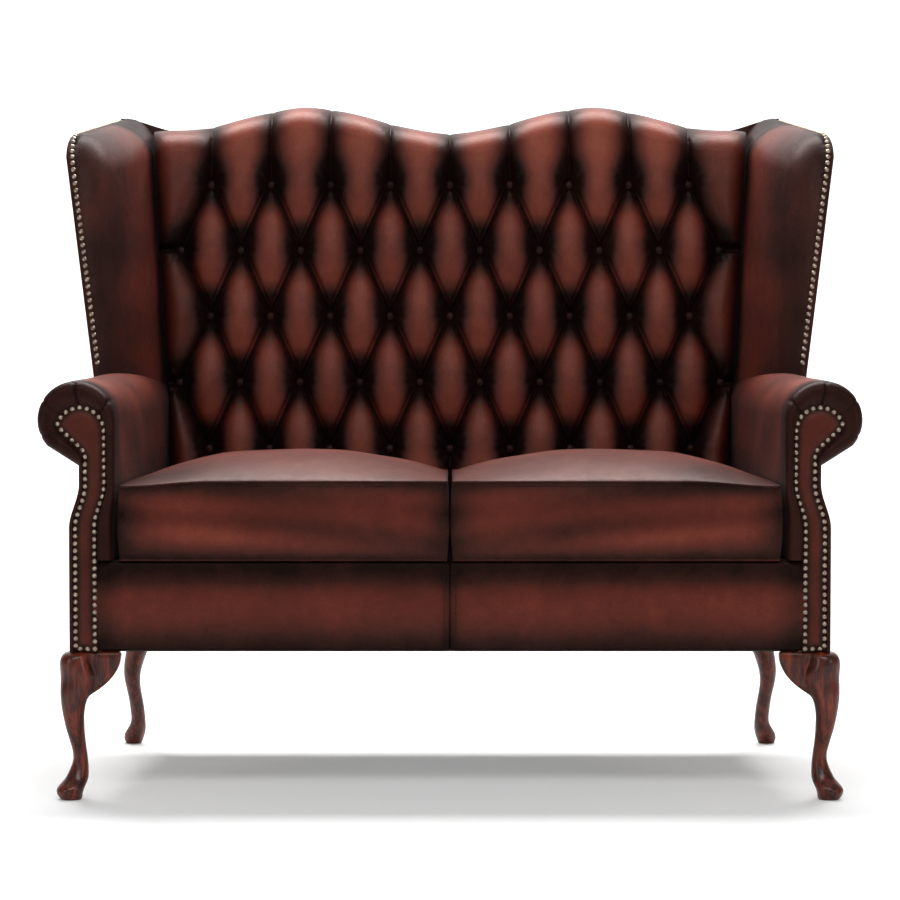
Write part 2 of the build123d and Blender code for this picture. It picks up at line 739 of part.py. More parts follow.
def top_z(x):
    """Height of the humped top edge at a place across, as smooth steps between its knots."""
    knots = top_edge(0, [(WIDTH, HEIGHT - SIDE_DIP)])
    for (x0, z0), (x1, z1) in zip(knots, knots[1:]):
        if x0 <= abs(x) <= x1:
            share = (abs(x) - x0) / (x1 - x0)
            return z0 + (z1 - z0) * share**2 * (3 - 2 * share)


def flute(column, row, side, end):
    """A half diamond at a row that runs on, full width, up or down to an end height."""
    stations = [tapered(column, row, share, -side) for share in TUFT_SHARES]
    half = BUTTON_PITCH / 2 - PLEAT / 2
    start = row_z(row)
    for share, swell in FLUTE_SWELLS:
        stations.append((start + (end - start) * share, column - half, column + half, swell))
    return swelling(stations[::side])


def side_form(levels):
    """A stuffed form against the right wing, through (height, inner edge, swell) levels."""
    return swelling([(z, x, back_half(z) - SIDE_SEAM, swell) for z, x, swell in levels])


FLUTE_BASE = PLATFORM_TOP + SOFT_GAP
last_row = BUTTON_ROWS - 1
tufts = []
for row in range(1, last_row):
    tufts += [diamond(x + BUTTON_PITCH / 2, row) for x in row_columns(row)[:-1]]
for x in [x + BUTTON_PITCH / 2 for x in row_columns(0)[:-1]]:
    lowest_edge = min(top_z(x - BUTTON_PITCH / 2), top_z(x + BUTTON_PITCH / 2))
    tufts.append(flute(x, 0, 1, lowest_edge - EDGE_SEAM))
for x in [x + BUTTON_PITCH / 2 for x in row_columns(last_row)[:-1]]:
    tufts.append(flute(x, last_row, -1, FLUTE_BASE))

near, far = row_columns(0)[-1], row_columns(1)[-1]
near_edge, far_edge = near + HOLLOW, far + HOLLOW
slant = (near + far) / 2 + PLEAT / 2
half_row = BUTTON_ROW_STEP / 2
top_end = HEIGHT - SIDE_DIP - EDGE_SEAM
side_forms = [
    [
        (row_z(1) + PLEAT, far_edge, SIDE_TIP),
        (row_z(1) + half_row, slant, SIDE_SWELL),
        (row_z(0) - HOLLOW, near_edge, TUFT_HEIGHT),
        (row_z(0) + HOLLOW, near_edge, TUFT_HEIGHT),
        (top_end, near + PLEAT / 2, FLUTE_FOOT),
    ],
    [
        (row_z(3) + PLEAT, far_edge, SIDE_TIP),
        (row_z(3) + half_row, slant, SIDE_SWELL),
        (row_z(2) - HOLLOW, near_edge, TUFT_HEIGHT),
        (row_z(2) + HOLLOW, near_edge, TUFT_HEIGHT),
        (row_z(1) - half_row, slant, SIDE_SWELL),
        (row_z(1) - PLEAT, far_edge, SIDE_TIP),
    ],
    [
        (FLUTE_BASE, near + PLEAT / 2, FLUTE_FOOT),
        (row_z(4) - HOLLOW, near_edge, SIDE_SWELL),
        (row_z(4) + HOLLOW, near_edge, SIDE_SWELL),
        (row_z(3) - half_row, slant, SIDE_SWELL),
        (row_z(3) - PLEAT, far_edge, SIDE_TIP),
    ],
]

with BuildPart() as side_tufts:
    add([side_form(levels) for levels in side_forms])
    mirror(about=Plane.YZ)

with BuildPart() as back_pad:
    add(raked_slab(pad_outline, BACK_PANEL + SOFT_GAP, PAD_IN))
    add(frame_zone, mode=Mode.SUBTRACT)
    add(tufts)
    add(side_tufts.part)
save(back_pad.part, "back_pad")

button_seats = []
for row in range(BUTTON_ROWS):
    z = row_z(row)
    for x in row_columns(row):
        seat = (x, back_y(z, PAD_IN + BUTTON_SEAT), z)
        button_seats.append(Plane(origin=seat, x_dir=(1, 0, 0), z_dir=FORWARD_NORMAL))


def dome(radius, height):
    """A low dome standing on the origin."""
    with BuildPart() as cap:
        with BuildSketch(Plane.XZ):
            with BuildLine():
                Line((0, 0), (radius, 0))
                sphere = (radius**2 + height**2) / (2 * height)
                RadiusArc((radius, 0), (0, height), -sphere)
                Line((0, height), (0, 0))
            make_face()
        revolve(axis=Axis.Z)
    return cap.part


with BuildPart() as back_buttons:
    with Locations(*button_seats):
        add(dome(BUTTON_RADIUS, BUTTON_DOME))
save(back_buttons.part, "back_buttons")

# Inside arms, fitted round the frame, the inside back and the wings

with BuildPart() as back_envelope:
    spread = [(back_half(z) + SOFT_GAP, z) for z in (RAIL_TOP, HEIGHT)]
    add(raked_slab(polygon(both_sides(spread)), 0, PAD_IN + SOFT_GAP))

with BuildPart() as arm_pad:
    add(arm_prism(arm_section.sketch, RIM_FRONT, FAR_BACK))
    front_edges = arm_pad.edges().group_by(Axis.Y)[0].sort_by(Axis.Z)
    fillet(front_edges[-1], RIM_ROUND)
    split(bisect_by=raked_plane(BACK_PANEL + SOFT_GAP), keep=Keep.BOTTOM)
    add(arm_prism(facing_outline.sketch, RIM_FRONT - RIM_PROUD, STUMP_FRONT), mode=Mode.SUBTRACT)
    hidden = [arm_stump.part, arm_top_rail.part, back_envelope.part, back_post.part, wing_board.part]
    for piece in hidden:
        add(piece, mode=Mode.SUBTRACT)
save_pair(arm_pad.part, "arm_pad")

# Outside back

with BuildPart() as outside_back:
    low_half = BASE_OUT - drawn_in(back_y(LEG_HEIGHT, 0))
    kick_half = BASE_OUT - drawn_in(back_y(KICK_LOW, 0))
    neck_half = NECK_OUT - drawn_in(back_y(KICK_HIGH, 0))
    waist_half = wing_outer(back_y(ARM_TOP, 0), ARM_TOP)
    rear_top = HEIGHT - WING_REAR_DROP
    ear_half = wing_outer(back_y(rear_top, 0), rear_top)
    sides = [(low_half, LEG_HEIGHT), (kick_half, KICK_LOW), (neck_half, KICK_HIGH)]
    sides += [(waist_half, ARM_TOP)]
    outline = humped_outline(0, sides, [(ear_half, rear_top)])
    add(raked_slab(outline, 0, BACK_PANEL))
save(outside_back.part, "outside_back")

# Front border, platform, springs and dust cover

with BuildPart() as front_border:
    front = FACE_Y + BORDER_SETBACK
    with BuildSketch(Plane.YZ.offset(SOFT_GAP / 2)):
        with BuildLine():
            Line((RAIL_FRONT, LEG_HEIGHT), (front + BORDER_BULGE, LEG_HEIGHT))
            half_up = (LEG_HEIGHT + PLATFORM_TOP) / 2
            ends = [(front + BORDER_BULGE, LEG_HEIGHT), (front + BORDER_BULGE, PLATFORM_TOP)]
            ThreePointArc(ends[0], (front, half_up), ends[1])
            Line(ends[1], (RAIL_FRONT, PLATFORM_TOP))
            Line((RAIL_FRONT, PLATFORM_TOP), (RAIL_FRONT, LEG_HEIGHT))
        make_face()
    extrude(amount=FRAME_X - drawn_in(RAIL_FRONT) - SOFT_GAP)
save_pair(front_border.part, "front_border")

with BuildPart() as seat_platform:
    front, rear = RAIL_FRONT + SOFT_GAP, back_y(PLATFORM_BASE, PAD_IN) - SOFT_GAP
    reach = FRAME_X - SOFT_GAP
    corners = [(reach - drawn_in(front), front), (reach - drawn_in(rear), rear)]
    add(plate(both_sides(corners), PLATFORM_BASE, PLATFORM_TOP))
save(seat_platform.part, "seat_platform")

SPRING_START = RAIL_FRONT + RAIL_THICKNESS / 2
SPRING_END = back_y(RAIL_TOP, BACK_PANEL + BACK_FRAME / 2)
spring_places = [(index - (SPRING_COUNT - 1) / 2) * SPRING_PITCH for index in range(SPRING_COUNT)]



def wire_run(start, stop):
    """A straight piece of spring wire."""
    way = (stop[0] - start[0], stop[1] - start[1], 0)
    with BuildPart() as run:
        with BuildSketch(Plane(origin=(*start, SPRING_Z), z_dir=way)):
            Circle(WIRE_DIAMETER / 2)
        extrude(amount=hypot(*way))
    return run.part


def wire_bend(start, heading, middle, turn):
    """A bend of spring wire about a middle, to the left when turn is over zero."""
    with BuildPart() as bend:
        with BuildSketch(Plane(origin=(*start, SPRING_Z), z_dir=(*heading, 0))):
            Circle(WIRE_DIAMETER / 2)
        pivot = Axis((*middle, SPRING_Z), (0, 0, turn))
        revolve(axis=pivot, revolution_arc=abs(turn))
    return bend.part


with BuildPart() as one_spring:
    first, last = SPRING_START + SPRING_TAIL, SPRING_END - SPRING_TAIL
    bars = 1 + round((last - first) / SPRING_RUN)
    run = (last - first) / (bars - 1)
    reach = SPRING_SWING - run / 2
    pieces = [wire_run((0, SPRING_START), (0, first - SPRING_BEND))]
    pieces += [wire_bend((0, first - SPRING_BEND), (0, 1), (SPRING_BEND, first - SPRING_BEND), -90)]
    for bar in range(bars):
        way = 1 if bar % 2 == 0 else -1
        y = first + bar * run
        begin = SPRING_BEND if bar == 0 else -way * reach
        end = -way * SPRING_BEND if bar == bars - 1 else way * reach
        pieces.append(wire_run((begin, y), (end, y)))
        if bar < bars - 1:
            pieces.append(wire_bend((end, y), (way, 0), (end, y + run / 2), 180 * way))
    pieces.append(wire_bend((end, last), (way, 0), (end, last + SPRING_BEND), 90 * way))
    pieces.append(wire_run((0, last + SPRING_BEND), (0, SPRING_END)))
    add(pieces)

with BuildPart() as seat_springs:
    with Locations(*[(x, 0, 0) for x in spring_places]):
        add(one_spring.part)
save(seat_springs.part, "seat_springs")

with BuildPart() as spring_clips:
    ends_y = (SPRING_START + CLIP_LENGTH / 2, SPRING_END - CLIP_LENGTH / 2)
    clip_height = SPRING_LIFT + WIRE_DIAMETER / 2
    with Locations(*[(x, y, RAIL_TOP) for x in spring_places for y in ends_y]):
        Box(CLIP_WIDTH, CLIP_LENGTH, clip_height, align=(Align.CENTER, Align.CENTER, Align.MIN))
    for x in spring_places:
        with BuildSketch(Plane(origin=(x, SPRING_START - SOFT_GAP, SPRING_Z), z_dir=(0, 1, 0))):
            Circle(WIRE_DIAMETER / 2 + WIRE_CLEARANCE)
        extrude(amount=SPRING_END - SPRING_START + 2 * SOFT_GAP, mode=Mode.SUBTRACT)
save(spring_clips.part, "spring_clips")

# Legs and their bolts

def ear_outline():
    """The bracket beside the knee, as (out, height), from the leg's middle inward."""
    with BuildSketch() as shape:
        with BuildLine():
            curve = [(-EAR_REACH, LEG_HEIGHT)]
            curve += [(out, share * LEG_HEIGHT) for out, share in EAR_PROFILE]
            Spline(*curve)
            Line(curve[-1], (curve[-1][0], LEG_HEIGHT))
            Line((curve[-1][0], LEG_HEIGHT), curve[0])
        make_face()
    return shape.sketch


with BuildPart() as front_leg:
    for share, out, radius in FRONT_LEG_STATIONS:
        with BuildSketch(Plane.XY.offset(share * LEG_HEIGHT)):
            with Locations((FRONT_LEG_X + out, FRONT_LEG_Y - out)):
                Circle(radius)
    loft()
    ear_front = FRONT_LEG_Y - EAR_OFFSET + EAR_THICKNESS / 2
    with BuildSketch(Plane((FRONT_LEG_X, ear_front, 0), x_dir=(1, 0, 0), z_dir=(0, -1, 0))):
        add(ear_outline())
    extrude(amount=EAR_THICKNESS)
    ear_side = FRONT_LEG_X + EAR_OFFSET + EAR_THICKNESS / 2
    with BuildSketch(Plane((ear_side, FRONT_LEG_Y, 0), x_dir=(0, -1, 0), z_dir=(-1, 0, 0))):
        add(ear_outline())
    extrude(amount=EAR_THICKNESS)
    bolt_hole(FRONT_BOLT, BOLT_IN_LEG, Align.MAX)
save_pair(front_leg.part, "front_leg")

with BuildPart() as rear_leg:
    for share, out, back, radius in REAR_LEG_STATIONS:
        with BuildSketch(Plane.XY.offset(share * LEG_HEIGHT)):
            with Locations((REAR_LEG_X + out, REAR_LEG_Y + back)):
                Circle(radius)
    loft()
    bolt_hole(REAR_BOLT, BOLT_IN_LEG, Align.MAX)
save_pair(rear_leg.part, "rear_leg")

with BuildPart() as leg_bolts:
    lowest = LEG_HEIGHT - BOLT_IN_LEG
    with Locations((*FRONT_BOLT, lowest), (*REAR_BOLT, lowest)):
        Cylinder(
            BOLT_RADIUS,
            BOLT_IN_LEG + BOLT_IN_FRAME,
            align=(Align.CENTER, Align.CENTER, Align.MIN),
        )
    mirror(about=Plane.YZ)
save(leg_bolts.part, "leg_bolts")

with BuildPart() as dust_cover:
    front = RAIL_FRONT + COVER_MARGIN
    past_ear = FRONT_LEG_Y + EAR_REACH + COVER_MARGIN
    before_leg = REAR_LEG_Y - REAR_TOP_RADIUS - COVER_MARGIN
    rear = back_y(LEG_HEIGHT, BACK_PANEL + COVER_MARGIN)
    rear_x = REAR_LEG_X - REAR_TOP_RADIUS - COVER_MARGIN
    points = [(FRONT_LEG_X - EAR_REACH - COVER_MARGIN, front)]
    for y in (past_ear, before_leg):
        points.append((FRAME_X + COVER_MARGIN - drawn_in(y), y))
    points += [(rear_x, before_leg), (rear_x, rear)]
    add(plate(both_sides(points), LEG_HEIGHT - COVER_CLOTH, LEG_HEIGHT))
save(dust_cover.part, "dust_cover")

# Loose seat cushions

CUSHION_FRONT = FACE_Y + CUSHION_SETBACK
CUSHION_REAR = back_y(CUSHION_BASE, PAD_IN) - FLUTE_FOOT - CUSHION_GAP


def cushion_form(inset):
    """The right cushion, or the same form drawn in all round by inset."""
    front, rear = CUSHION_FRONT + inset, CUSHION_REAR - inset
    with BuildPart() as form:
        for share, edge, crown, draw in CUSHION_STATIONS:
            y = front + (rear - front) * share
            sides = CUSHION_BULGE + CUSHION_DRAW * draw + CUSHION_EDGE * edge + inset
            left = CUSHION_GAP / 2 + sides
            right = ARM_INNER - drawn_in(y) - CUSHION_GAP - sides
            low = CUSHION_BASE + CUSHION_EDGE * edge + inset
            high = CUSHION_TOP - CUSHION_EDGE * edge - inset
            middle, half_up = (left + right) / 2, (low + high) / 2
            with BuildSketch(Plane((0, y, 0), x_dir=(1, 0, 0), z_dir=(0, -1, 0))):
                with BuildLine():
                    Line((left, low), (right, low))
                    ThreePointArc((right, low), (right + CUSHION_BULGE, half_up), (right, high))
                    crest = (middle, high + CUSHION_CROWN * crown)
                    ThreePointArc((right, high), crest, (left, high))
                    ThreePointArc((left, high), (left - CUSHION_BULGE, half_up), (left, low))
                make_face()
        loft(ruled=True)
    return form.part


with BuildPart() as seat_cushion_cover:
    add(cushion_form(0))
    add(cushion_form(COVER_LEATHER), mode=Mode.SUBTRACT)
save_pair(seat_cushion_cover.part, "seat_cushion_cover")

with BuildPart() as seat_cushion_core:
    add(cushion_form(COVER_LEATHER + SOFT_GAP))
save_pair(seat_cushion_core.part, "seat_cushion_core")

# Nail heads

nail = dome(NAIL_RADIUS, NAIL_HEIGHT)

with BuildSketch() as nail_line:
    add(facing_outline.sketch)
    offset(amount=-NAIL_INSET, kind=Kind.INTERSECTION, mode=Mode.REPLACE)

with BuildPart() as arm_nails:
    path = nail_line.face().outer_wire()
    count = round(path.length / NAIL_PITCH)
    spots = [path.position_at(index / count) for index in range(count)]
    front = FACE_Y - NAIL_SEAT
    seats = [Plane((p.X, front, p.Y), x_dir=(1, 0, 0), z_dir=(0, -1, 0)) for p in spots]
    with Locations(*seats):
        add(nail)
save_pair(arm_nails.part, "arm_nails")

with BuildSketch() as wing_side:
    add(wing_outline(0, ARM_TOP + NAIL_PITCH, WING_CORNER))

with BuildPart() as wing_nails:
    edges = wing_side.edges()
    front_edge = edges.filter_by(GeomType.LINE).sort_by(Axis.X)[0]
    nose = edges.filter_by(GeomType.CIRCLE)[0]
    top = edges.filter_by(GeomType.LINE).sort_by(Axis.Y)[-1]
    inside = wing_side.face().center()
    seats = []
    for edge, reach in ((front_edge, 1.0), (nose, 1.0), (top, WING_NAIL_RUN)):
        low_end = edge @ 0 if (edge @ 0).Y < (edge @ 1).Y else edge @ 1
        start = 0.0 if (edge @ 0) == low_end else 1.0
        count = round(edge.length * reach / NAIL_PITCH)
        for index in range(count):
            share = (index + 0.5) / count * reach
            place = share if start == 0.0 else 1.0 - share
            spot, along = edge @ place, edge % place
            normal = Vector(-along.Y, along.X, 0)
            if normal.dot(inside - spot) > 0:
                normal = normal * -1
            spot = spot + normal * NAIL_SEAT
            x = wing_outer(spot.X, spot.Y) - WING_NAIL_INSET
            lie = Plane((x, spot.X, spot.Y), x_dir=(1, 0, 0), z_dir=(0, normal.X, normal.Y))
            seats.append(lie)
    with Locations(*seats):
        add(nail)
save_pair(wing_nails.part, "wing_nails")
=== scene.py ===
# %% [markdown]
# # A buttoned wing settee, dressed over its CAD frame
#
# The CAD model holds the frame, the springs, the legs and plain pads. This lesson keeps its
# frame and gives every soft piece its real shape: deep buttoning, rolls, domed cushions and
# piped seams. Everything is in metres and stays where the CAD has it.

# %% Load the frame
import json
from math import cos, pi, radians, sin, sqrt, tan

import bpy
import numpy as np
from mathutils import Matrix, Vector


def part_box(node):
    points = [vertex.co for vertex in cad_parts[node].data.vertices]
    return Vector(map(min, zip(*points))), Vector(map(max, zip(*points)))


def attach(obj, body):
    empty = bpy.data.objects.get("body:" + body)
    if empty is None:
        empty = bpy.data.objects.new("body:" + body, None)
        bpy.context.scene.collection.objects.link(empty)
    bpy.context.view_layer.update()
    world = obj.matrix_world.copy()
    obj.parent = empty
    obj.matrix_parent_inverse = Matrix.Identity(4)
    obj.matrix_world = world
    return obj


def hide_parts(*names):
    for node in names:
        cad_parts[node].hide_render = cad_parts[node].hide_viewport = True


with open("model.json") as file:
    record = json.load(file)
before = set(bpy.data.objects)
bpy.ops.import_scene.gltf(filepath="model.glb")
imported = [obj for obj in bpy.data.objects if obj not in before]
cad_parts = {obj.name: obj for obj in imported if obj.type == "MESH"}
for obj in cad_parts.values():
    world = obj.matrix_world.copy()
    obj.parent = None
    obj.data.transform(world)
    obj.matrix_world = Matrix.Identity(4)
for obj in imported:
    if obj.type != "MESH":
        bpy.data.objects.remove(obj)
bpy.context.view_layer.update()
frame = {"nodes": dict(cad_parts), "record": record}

nodes = frame["nodes"]
print("CAD nodes:", len(nodes))

# %% [markdown]
# ## The sizes that the soft pieces share with the frame
#
# The sides of the settee close in towards the back and the back leans. The same few slopes
# place every cover, so they are written once, with small functions that give the place of the
# back's layers, the arms and the wings at any height or depth.

# %% Shared sizes
MM = 0.001
WIDTH, DEPTH, HEIGHT = 1300 * MM, 790 * MM, 1112 * MM
FACE_Y = -375 * MM
SIDE_TAPER, BACK_FLARE = 0.085, 0.067
LEAN = radians(11)
RAKE = tan(LEAN)
FORWARD = np.array([0.0, -cos(LEAN), sin(LEAN)])
LEG_HEIGHT, PLATFORM_TOP = 234 * MM, 379.3 * MM
ARM_TOP, ROLL_RADIUS = 662 * MM, 61 * MM
ROLL_X, ROLL_Z = WIDTH / 2 - ROLL_RADIUS, ARM_TOP - ROLL_RADIUS
ARM_INNER = ROLL_X - ROLL_RADIUS
FRAME_X = ARM_INNER + 24 * MM
NECK_OUT, KICK = 586.3 * MM, 16 * MM
BASE_OUT = NECK_OUT + KICK
KICK_LOW, KICK_HIGH = 430 * MM, 500 * MM
PANEL, STRAP_IN, PAD_IN = 8 * MM, 47 * MM, 117 * MM


def drawn_in(y):
    """How far the sides have closed in at a depth."""
    return (y - FACE_Y) * SIDE_TAPER


def back_y(z, forward):
    """The depth of the leaning back at a height, a distance in front of its rear."""
    return DEPTH / 2 - (HEIGHT - z) * RAKE - forward


BACK_AT_ARM = ARM_INNER - drawn_in(back_y(ROLL_Z, PAD_IN)) + 4 * MM
WING_REACH = 348 * MM
WING_FLARE, WING_SPLAY, WING_INNER_SPLAY = 0.18, 0.2115, 0.29
WING_FOOT_Y = back_y(ARM_TOP, WING_REACH)
WING_FOOT_X = ROLL_X - drawn_in(WING_FOOT_Y) + 34 * MM


def back_half(z):
    return BACK_AT_ARM + (z - ROLL_Z) * BACK_FLARE


def wing_outer(y, z):
    return WING_FOOT_X + (z - ARM_TOP) * WING_FLARE - (y - WING_FOOT_Y) * WING_SPLAY


def wing_inner(y, z):
    return back_half(z) + 0.3 * MM + np.maximum(back_y(z, PAD_IN) - y, 0) * WING_INNER_SPLAY


def ease(share):
    """A smooth step from 0 to 1."""
    share = np.clip(share, 0, 1)
    return share * share * (3 - 2 * share)


def top_z(x, ear=None):
    """Height of the humped top edge of the back at a place across."""
    knots_x = [0, 248 * MM, 472 * MM, 700 * MM]
    knots_z = [HEIGHT - 45 * MM, HEIGHT, HEIGHT - 40 * MM, HEIGHT - 40 * MM]
    if ear is not None:
        knots_x[3], knots_z[3] = ear
    across = np.abs(x)
    result = np.full_like(across, knots_z[3])
    for x0, z0, x1, z1 in zip(knots_x, knots_z, knots_x[1:], knots_z[1:]):
        here = (across >= x0) & (across <= x1)
        result[here] = (z0 + (z1 - z0) * ease((across - x0) / (x1 - x0)))[here]
    return result


print("half width of the back at the arm:", round(BACK_AT_ARM, 4), "m")

# %% [markdown]
# ## The camera and the light
#
# The photo looks straight at the front from far away with a long lens, a little above the
# seat. A big soft box overhead gives the grey sheen on the cushions and the tops of the
# diamonds. One in front and one on either side open up the shadows. The floor is a pale sheet
# of paper that bends up far behind the settee.

# %% Camera
LENS_PIXELS, FRAME_PIXELS = 3821, 900
CAMERA_AWAY, CAMERA_HEIGHT, CAMERA_TILT = 6.0, 0.905, 3.35
camera_data = bpy.data.cameras.new("photo_camera")
camera_data.sensor_width = 36
camera_data.lens = LENS_PIXELS / FRAME_PIXELS * camera_data.sensor_width
camera_data.clip_end = 60
camera = bpy.data.objects.new("photo_camera", camera_data)
bpy.context.scene.collection.objects.link(camera)
camera.location = (0, FACE_Y - CAMERA_AWAY, CAMERA_HEIGHT)
camera.rotation_euler = (radians(90 - CAMERA_TILT), 0, 0)
bpy.context.scene.camera = camera
bpy.context.scene.view_settings.view_transform = "Standard"
print("lens:", round(camera_data.lens, 1), "mm")


# %% Lights and floor
def soft_box(name, place, target, size, power):
    data = bpy.data.lights.new(name, "AREA")
    data.shape = "RECTANGLE"
    data.size, data.size_y = size
    data.energy = power
    lamp = bpy.data.objects.new(name, data)
    bpy.context.scene.collection.objects.link(lamp)
    lamp.location = place
    aim = Vector(target) - Vector(place)
    lamp.rotation_euler = aim.to_track_quat("-Z", "Y").to_euler()


soft_box("top_box", (0, 0.85, 2.75), (0, -0.15, 0.5), (2.8, 1.1), 145)
soft_box("front_box", (0, -3.4, 3.3), (0, 0, 0.6), (3.4, 1.0), 80)
for name, x in (("left_box", -3.2), ("right_box", 3.2)):
    soft_box(name, (x, -3.2, 1.5), (0, 0, 0.6), (1.2, 2.0), 26)

world = bpy.data.worlds.new("studio")
bpy.context.scene.world = world
world.use_nodes = True
sky = world.node_tree.nodes["Background"]
sky.inputs["Color"].default_value = (1, 1, 1, 1)
sky.inputs["Strength"].default_value = 0.26

bpy.ops.object.select_all(action="DESELECT")
bpy.ops.mesh.primitive_grid_add(x_subdivisions=2, y_subdivisions=60, size=2)
floor = bpy.context.object
floor.name = "studio_sweep"
SWEEP_FRONT, SWEEP_FLAT, SWEEP_BEND = -14, 8.0, 3.0
SWEEP_HALF_LENGTH, SWEEP_HALF_WIDTH = 16, 12
for vertex in floor.data.vertices:
    reach = (vertex.co.y + 1) * SWEEP_HALF_LENGTH + SWEEP_FRONT
    angle = min(max((reach - SWEEP_FLAT) / SWEEP_BEND, 0), pi / 2)
    rise = max(reach - SWEEP_FLAT - SWEEP_BEND * pi / 2, 0)
    vertex.co.x *= SWEEP_HALF_WIDTH
    vertex.co.y = min(reach, SWEEP_FLAT) + SWEEP_BEND * sin(angle)
    vertex.co.z = SWEEP_BEND * (1 - cos(angle)) + rise
bpy.ops.object.shade_smooth()
print("lights and floor are in place")

# %% [markdown]
# ## Finishes
#
# The leather is hand-antiqued: a dark coat is rubbed off where the cover stands proud, so the
# middles of the pads are rust red and the folds stay almost black. Each soft piece carries a
# `wear` value on its points that says how much has been rubbed off. On the back,
# the arms, the wings and the border it is also lowered as painted shade in hollows, in corners
# and under the cushions. The finish mixes that with cloudy noise, and small cells in the bump
# give the grain.


# %% Node helpers
def new_finish(name):
    finish = bpy.data.materials.new(name)
    finish.use_nodes = True
    tree = finish.node_tree
    return finish, tree, tree.nodes["Principled BSDF"]


def set_socket(tree, socket, value):
    """Links another node's socket, or sets a constant on the socket itself."""
    if isinstance(value, bpy.types.NodeSocket):
        tree.links.new(value, socket)
    else:
        socket.default_value = value


def set_inputs(tree, node, **inputs):
    for key, value in inputs.items():
        set_socket(tree, node.inputs[key.replace("_", " ")], value)


def add_node(tree, kind, settings=None, **inputs):
    node = tree.nodes.new(kind)
    for key, value in (settings or {}).items():
        setattr(node, key, value)
    set_inputs(tree, node, **inputs)
    return node


def object_place(tree):
    return tree.nodes.new("ShaderNodeTexCoord").outputs["Object"]


def colour_ramp(tree, factor, stops):
    node = tree.nodes.new("ShaderNodeValToRGB")
    ramp = node.color_ramp
    while len(ramp.elements) < len(stops):
        ramp.elements.new(0.5)
    for element, (place, colour) in zip(ramp.elements, stops):
        element.position = place
        element.color = (*colour, 1)
    tree.links.new(factor, node.inputs["Fac"])
    return node.outputs["Color"]


def math_node(tree, operation, first, second):
    node = tree.nodes.new("ShaderNodeMath")
    node.operation = operation
    for socket, value in zip(node.inputs, (first, second)):
        set_socket(tree, socket, value)
    return node.outputs[0]


def noise(tree, where, scale, detail=3.0, roughness=0.55):
    kind = "ShaderNodeTexNoise"
    node = add_node(tree, kind, Vector=where, Scale=scale, Detail=detail, Roughness=roughness)
    return node.outputs["Fac"]


def spread(tree, value, low, high):
    node = add_node(tree, "ShaderNodeMapRange", Value=value, To_Min=low, To_Max=high)
    return node.outputs["Result"]


def relief(tree, height, strength, distance):
    node = add_node(tree, "ShaderNodeBump", Strength=strength, Distance=distance, Height=height)
    return node.outputs["Normal"]


# %% Antiqued leather
def antiqued_leather(name):
    finish, tree, shader = new_finish(name)
    where = object_place(tree)
    # Each point's value is its rubbed-off wear, lowered in places as painted shade.
    wear = add_node(tree, "ShaderNodeAttribute", {"attribute_name": "wear"}).outputs["Fac"]
    clouds = spread(tree, noise(tree, where, 7.0, 4.0), -0.16, 0.16)
    rubs = spread(tree, noise(tree, where, 42.0, 5.0, 0.65), -0.14, 0.14)
    specks = spread(tree, noise(tree, where, 420.0, 2.0), -0.10, 0.10)
    rubbed_and_shaded = wear
    for part in (clouds, rubs, specks):
        rubbed_and_shaded = math_node(tree, "ADD", rubbed_and_shaded, part)
    stops = [
        (0.0, (0.0040, 0.0013, 0.0010)),
        (0.28, (0.0185, 0.0035, 0.0022)),
        (0.62, (0.070, 0.0086, 0.0040)),
        (1.0, (0.165, 0.0260, 0.0100)),
    ]
    cells = add_node(tree, "ShaderNodeTexVoronoi", {"feature": "SMOOTH_F1"}, Vector=where, Scale=430.0)
    creases = math_node(tree, "MULTIPLY", noise(tree, where, 150.0, 4.0, 0.6), 0.8)
    height = math_node(tree, "ADD", cells.outputs["Distance"], creases)
    set_inputs(
        tree,
        shader,
        Base_Color=colour_ramp(tree, rubbed_and_shaded, stops),
        Roughness=spread(tree, noise(tree, where, 55.0, 4.0), 0.42, 0.60),
        Specular_IOR_Level=spread(tree, rubbed_and_shaded, 0.07, 0.42),
        Specular_Tint=(1.0, 0.66, 0.56, 1),
        Sheen_Weight=0.02,
        Sheen_Roughness=0.35,
        Coat_Weight=0.03,
        Coat_Roughness=0.3,
        Normal=relief(tree, height, 0.22, 0.0012),
    )
    return finish


leather = antiqued_leather("antiqued_leather")
print("leather finish:", leather.name)


# %% Polished mahogany
def mahogany(name):
    finish, tree, shader = new_finish(name)
    where = object_place(tree)
    stretched = add_node(tree, "ShaderNodeMapping", Vector=where, Scale=(1.0, 1.0, 0.12))
    along = stretched.outputs["Vector"]
    streaks = math_node(tree, "MULTIPLY", noise(tree, along, 90.0, 6.0, 0.62), 0.75)
    pores = noise(tree, along, 420.0, 2.0)
    figure = math_node(tree, "ADD", streaks, math_node(tree, "MULTIPLY", pores, 0.3))
    stops = [
        (0.3, (0.0060, 0.0016, 0.0011)),
        (0.47, (0.030, 0.0055, 0.0026)),
        (0.62, (0.120, 0.018, 0.0062)),
        (0.85, (0.27, 0.050, 0.016)),
    ]
    set_inputs(
        tree,
        shader,
        Base_Color=colour_ramp(tree, figure, stops),
        Roughness=spread(tree, pores, 0.3, 0.48),
        Specular_IOR_Level=0.2,
        Coat_Weight=0.25,
        Coat_Roughness=0.14,
        Coat_Tint=(1.0, 0.8, 0.7, 1),
        Normal=relief(tree, figure, 0.06, 0.0005),
    )
    return finish


# %% Plain workshop finishes: beech, brass, steel, cloth, plastic
def speckled(name, dark, light, scale, roughness, metallic=0.0, stretch=(1, 1, 1), bump=0.1):
    finish, tree, shader = new_finish(name)
    where = object_place(tree)
    mapped = add_node(tree, "ShaderNodeMapping", Vector=where, Scale=stretch)
    grain = noise(tree, mapped.outputs["Vector"], scale, 5.0, 0.6)
    set_inputs(
        tree,
        shader,
        Base_Color=colour_ramp(tree, grain, [(0.32, dark), (0.68, light)]),
        Roughness=spread(tree, grain, *roughness),
        Metallic=metallic,
        Normal=relief(tree, grain, bump, 0.0006),
    )
    return finish


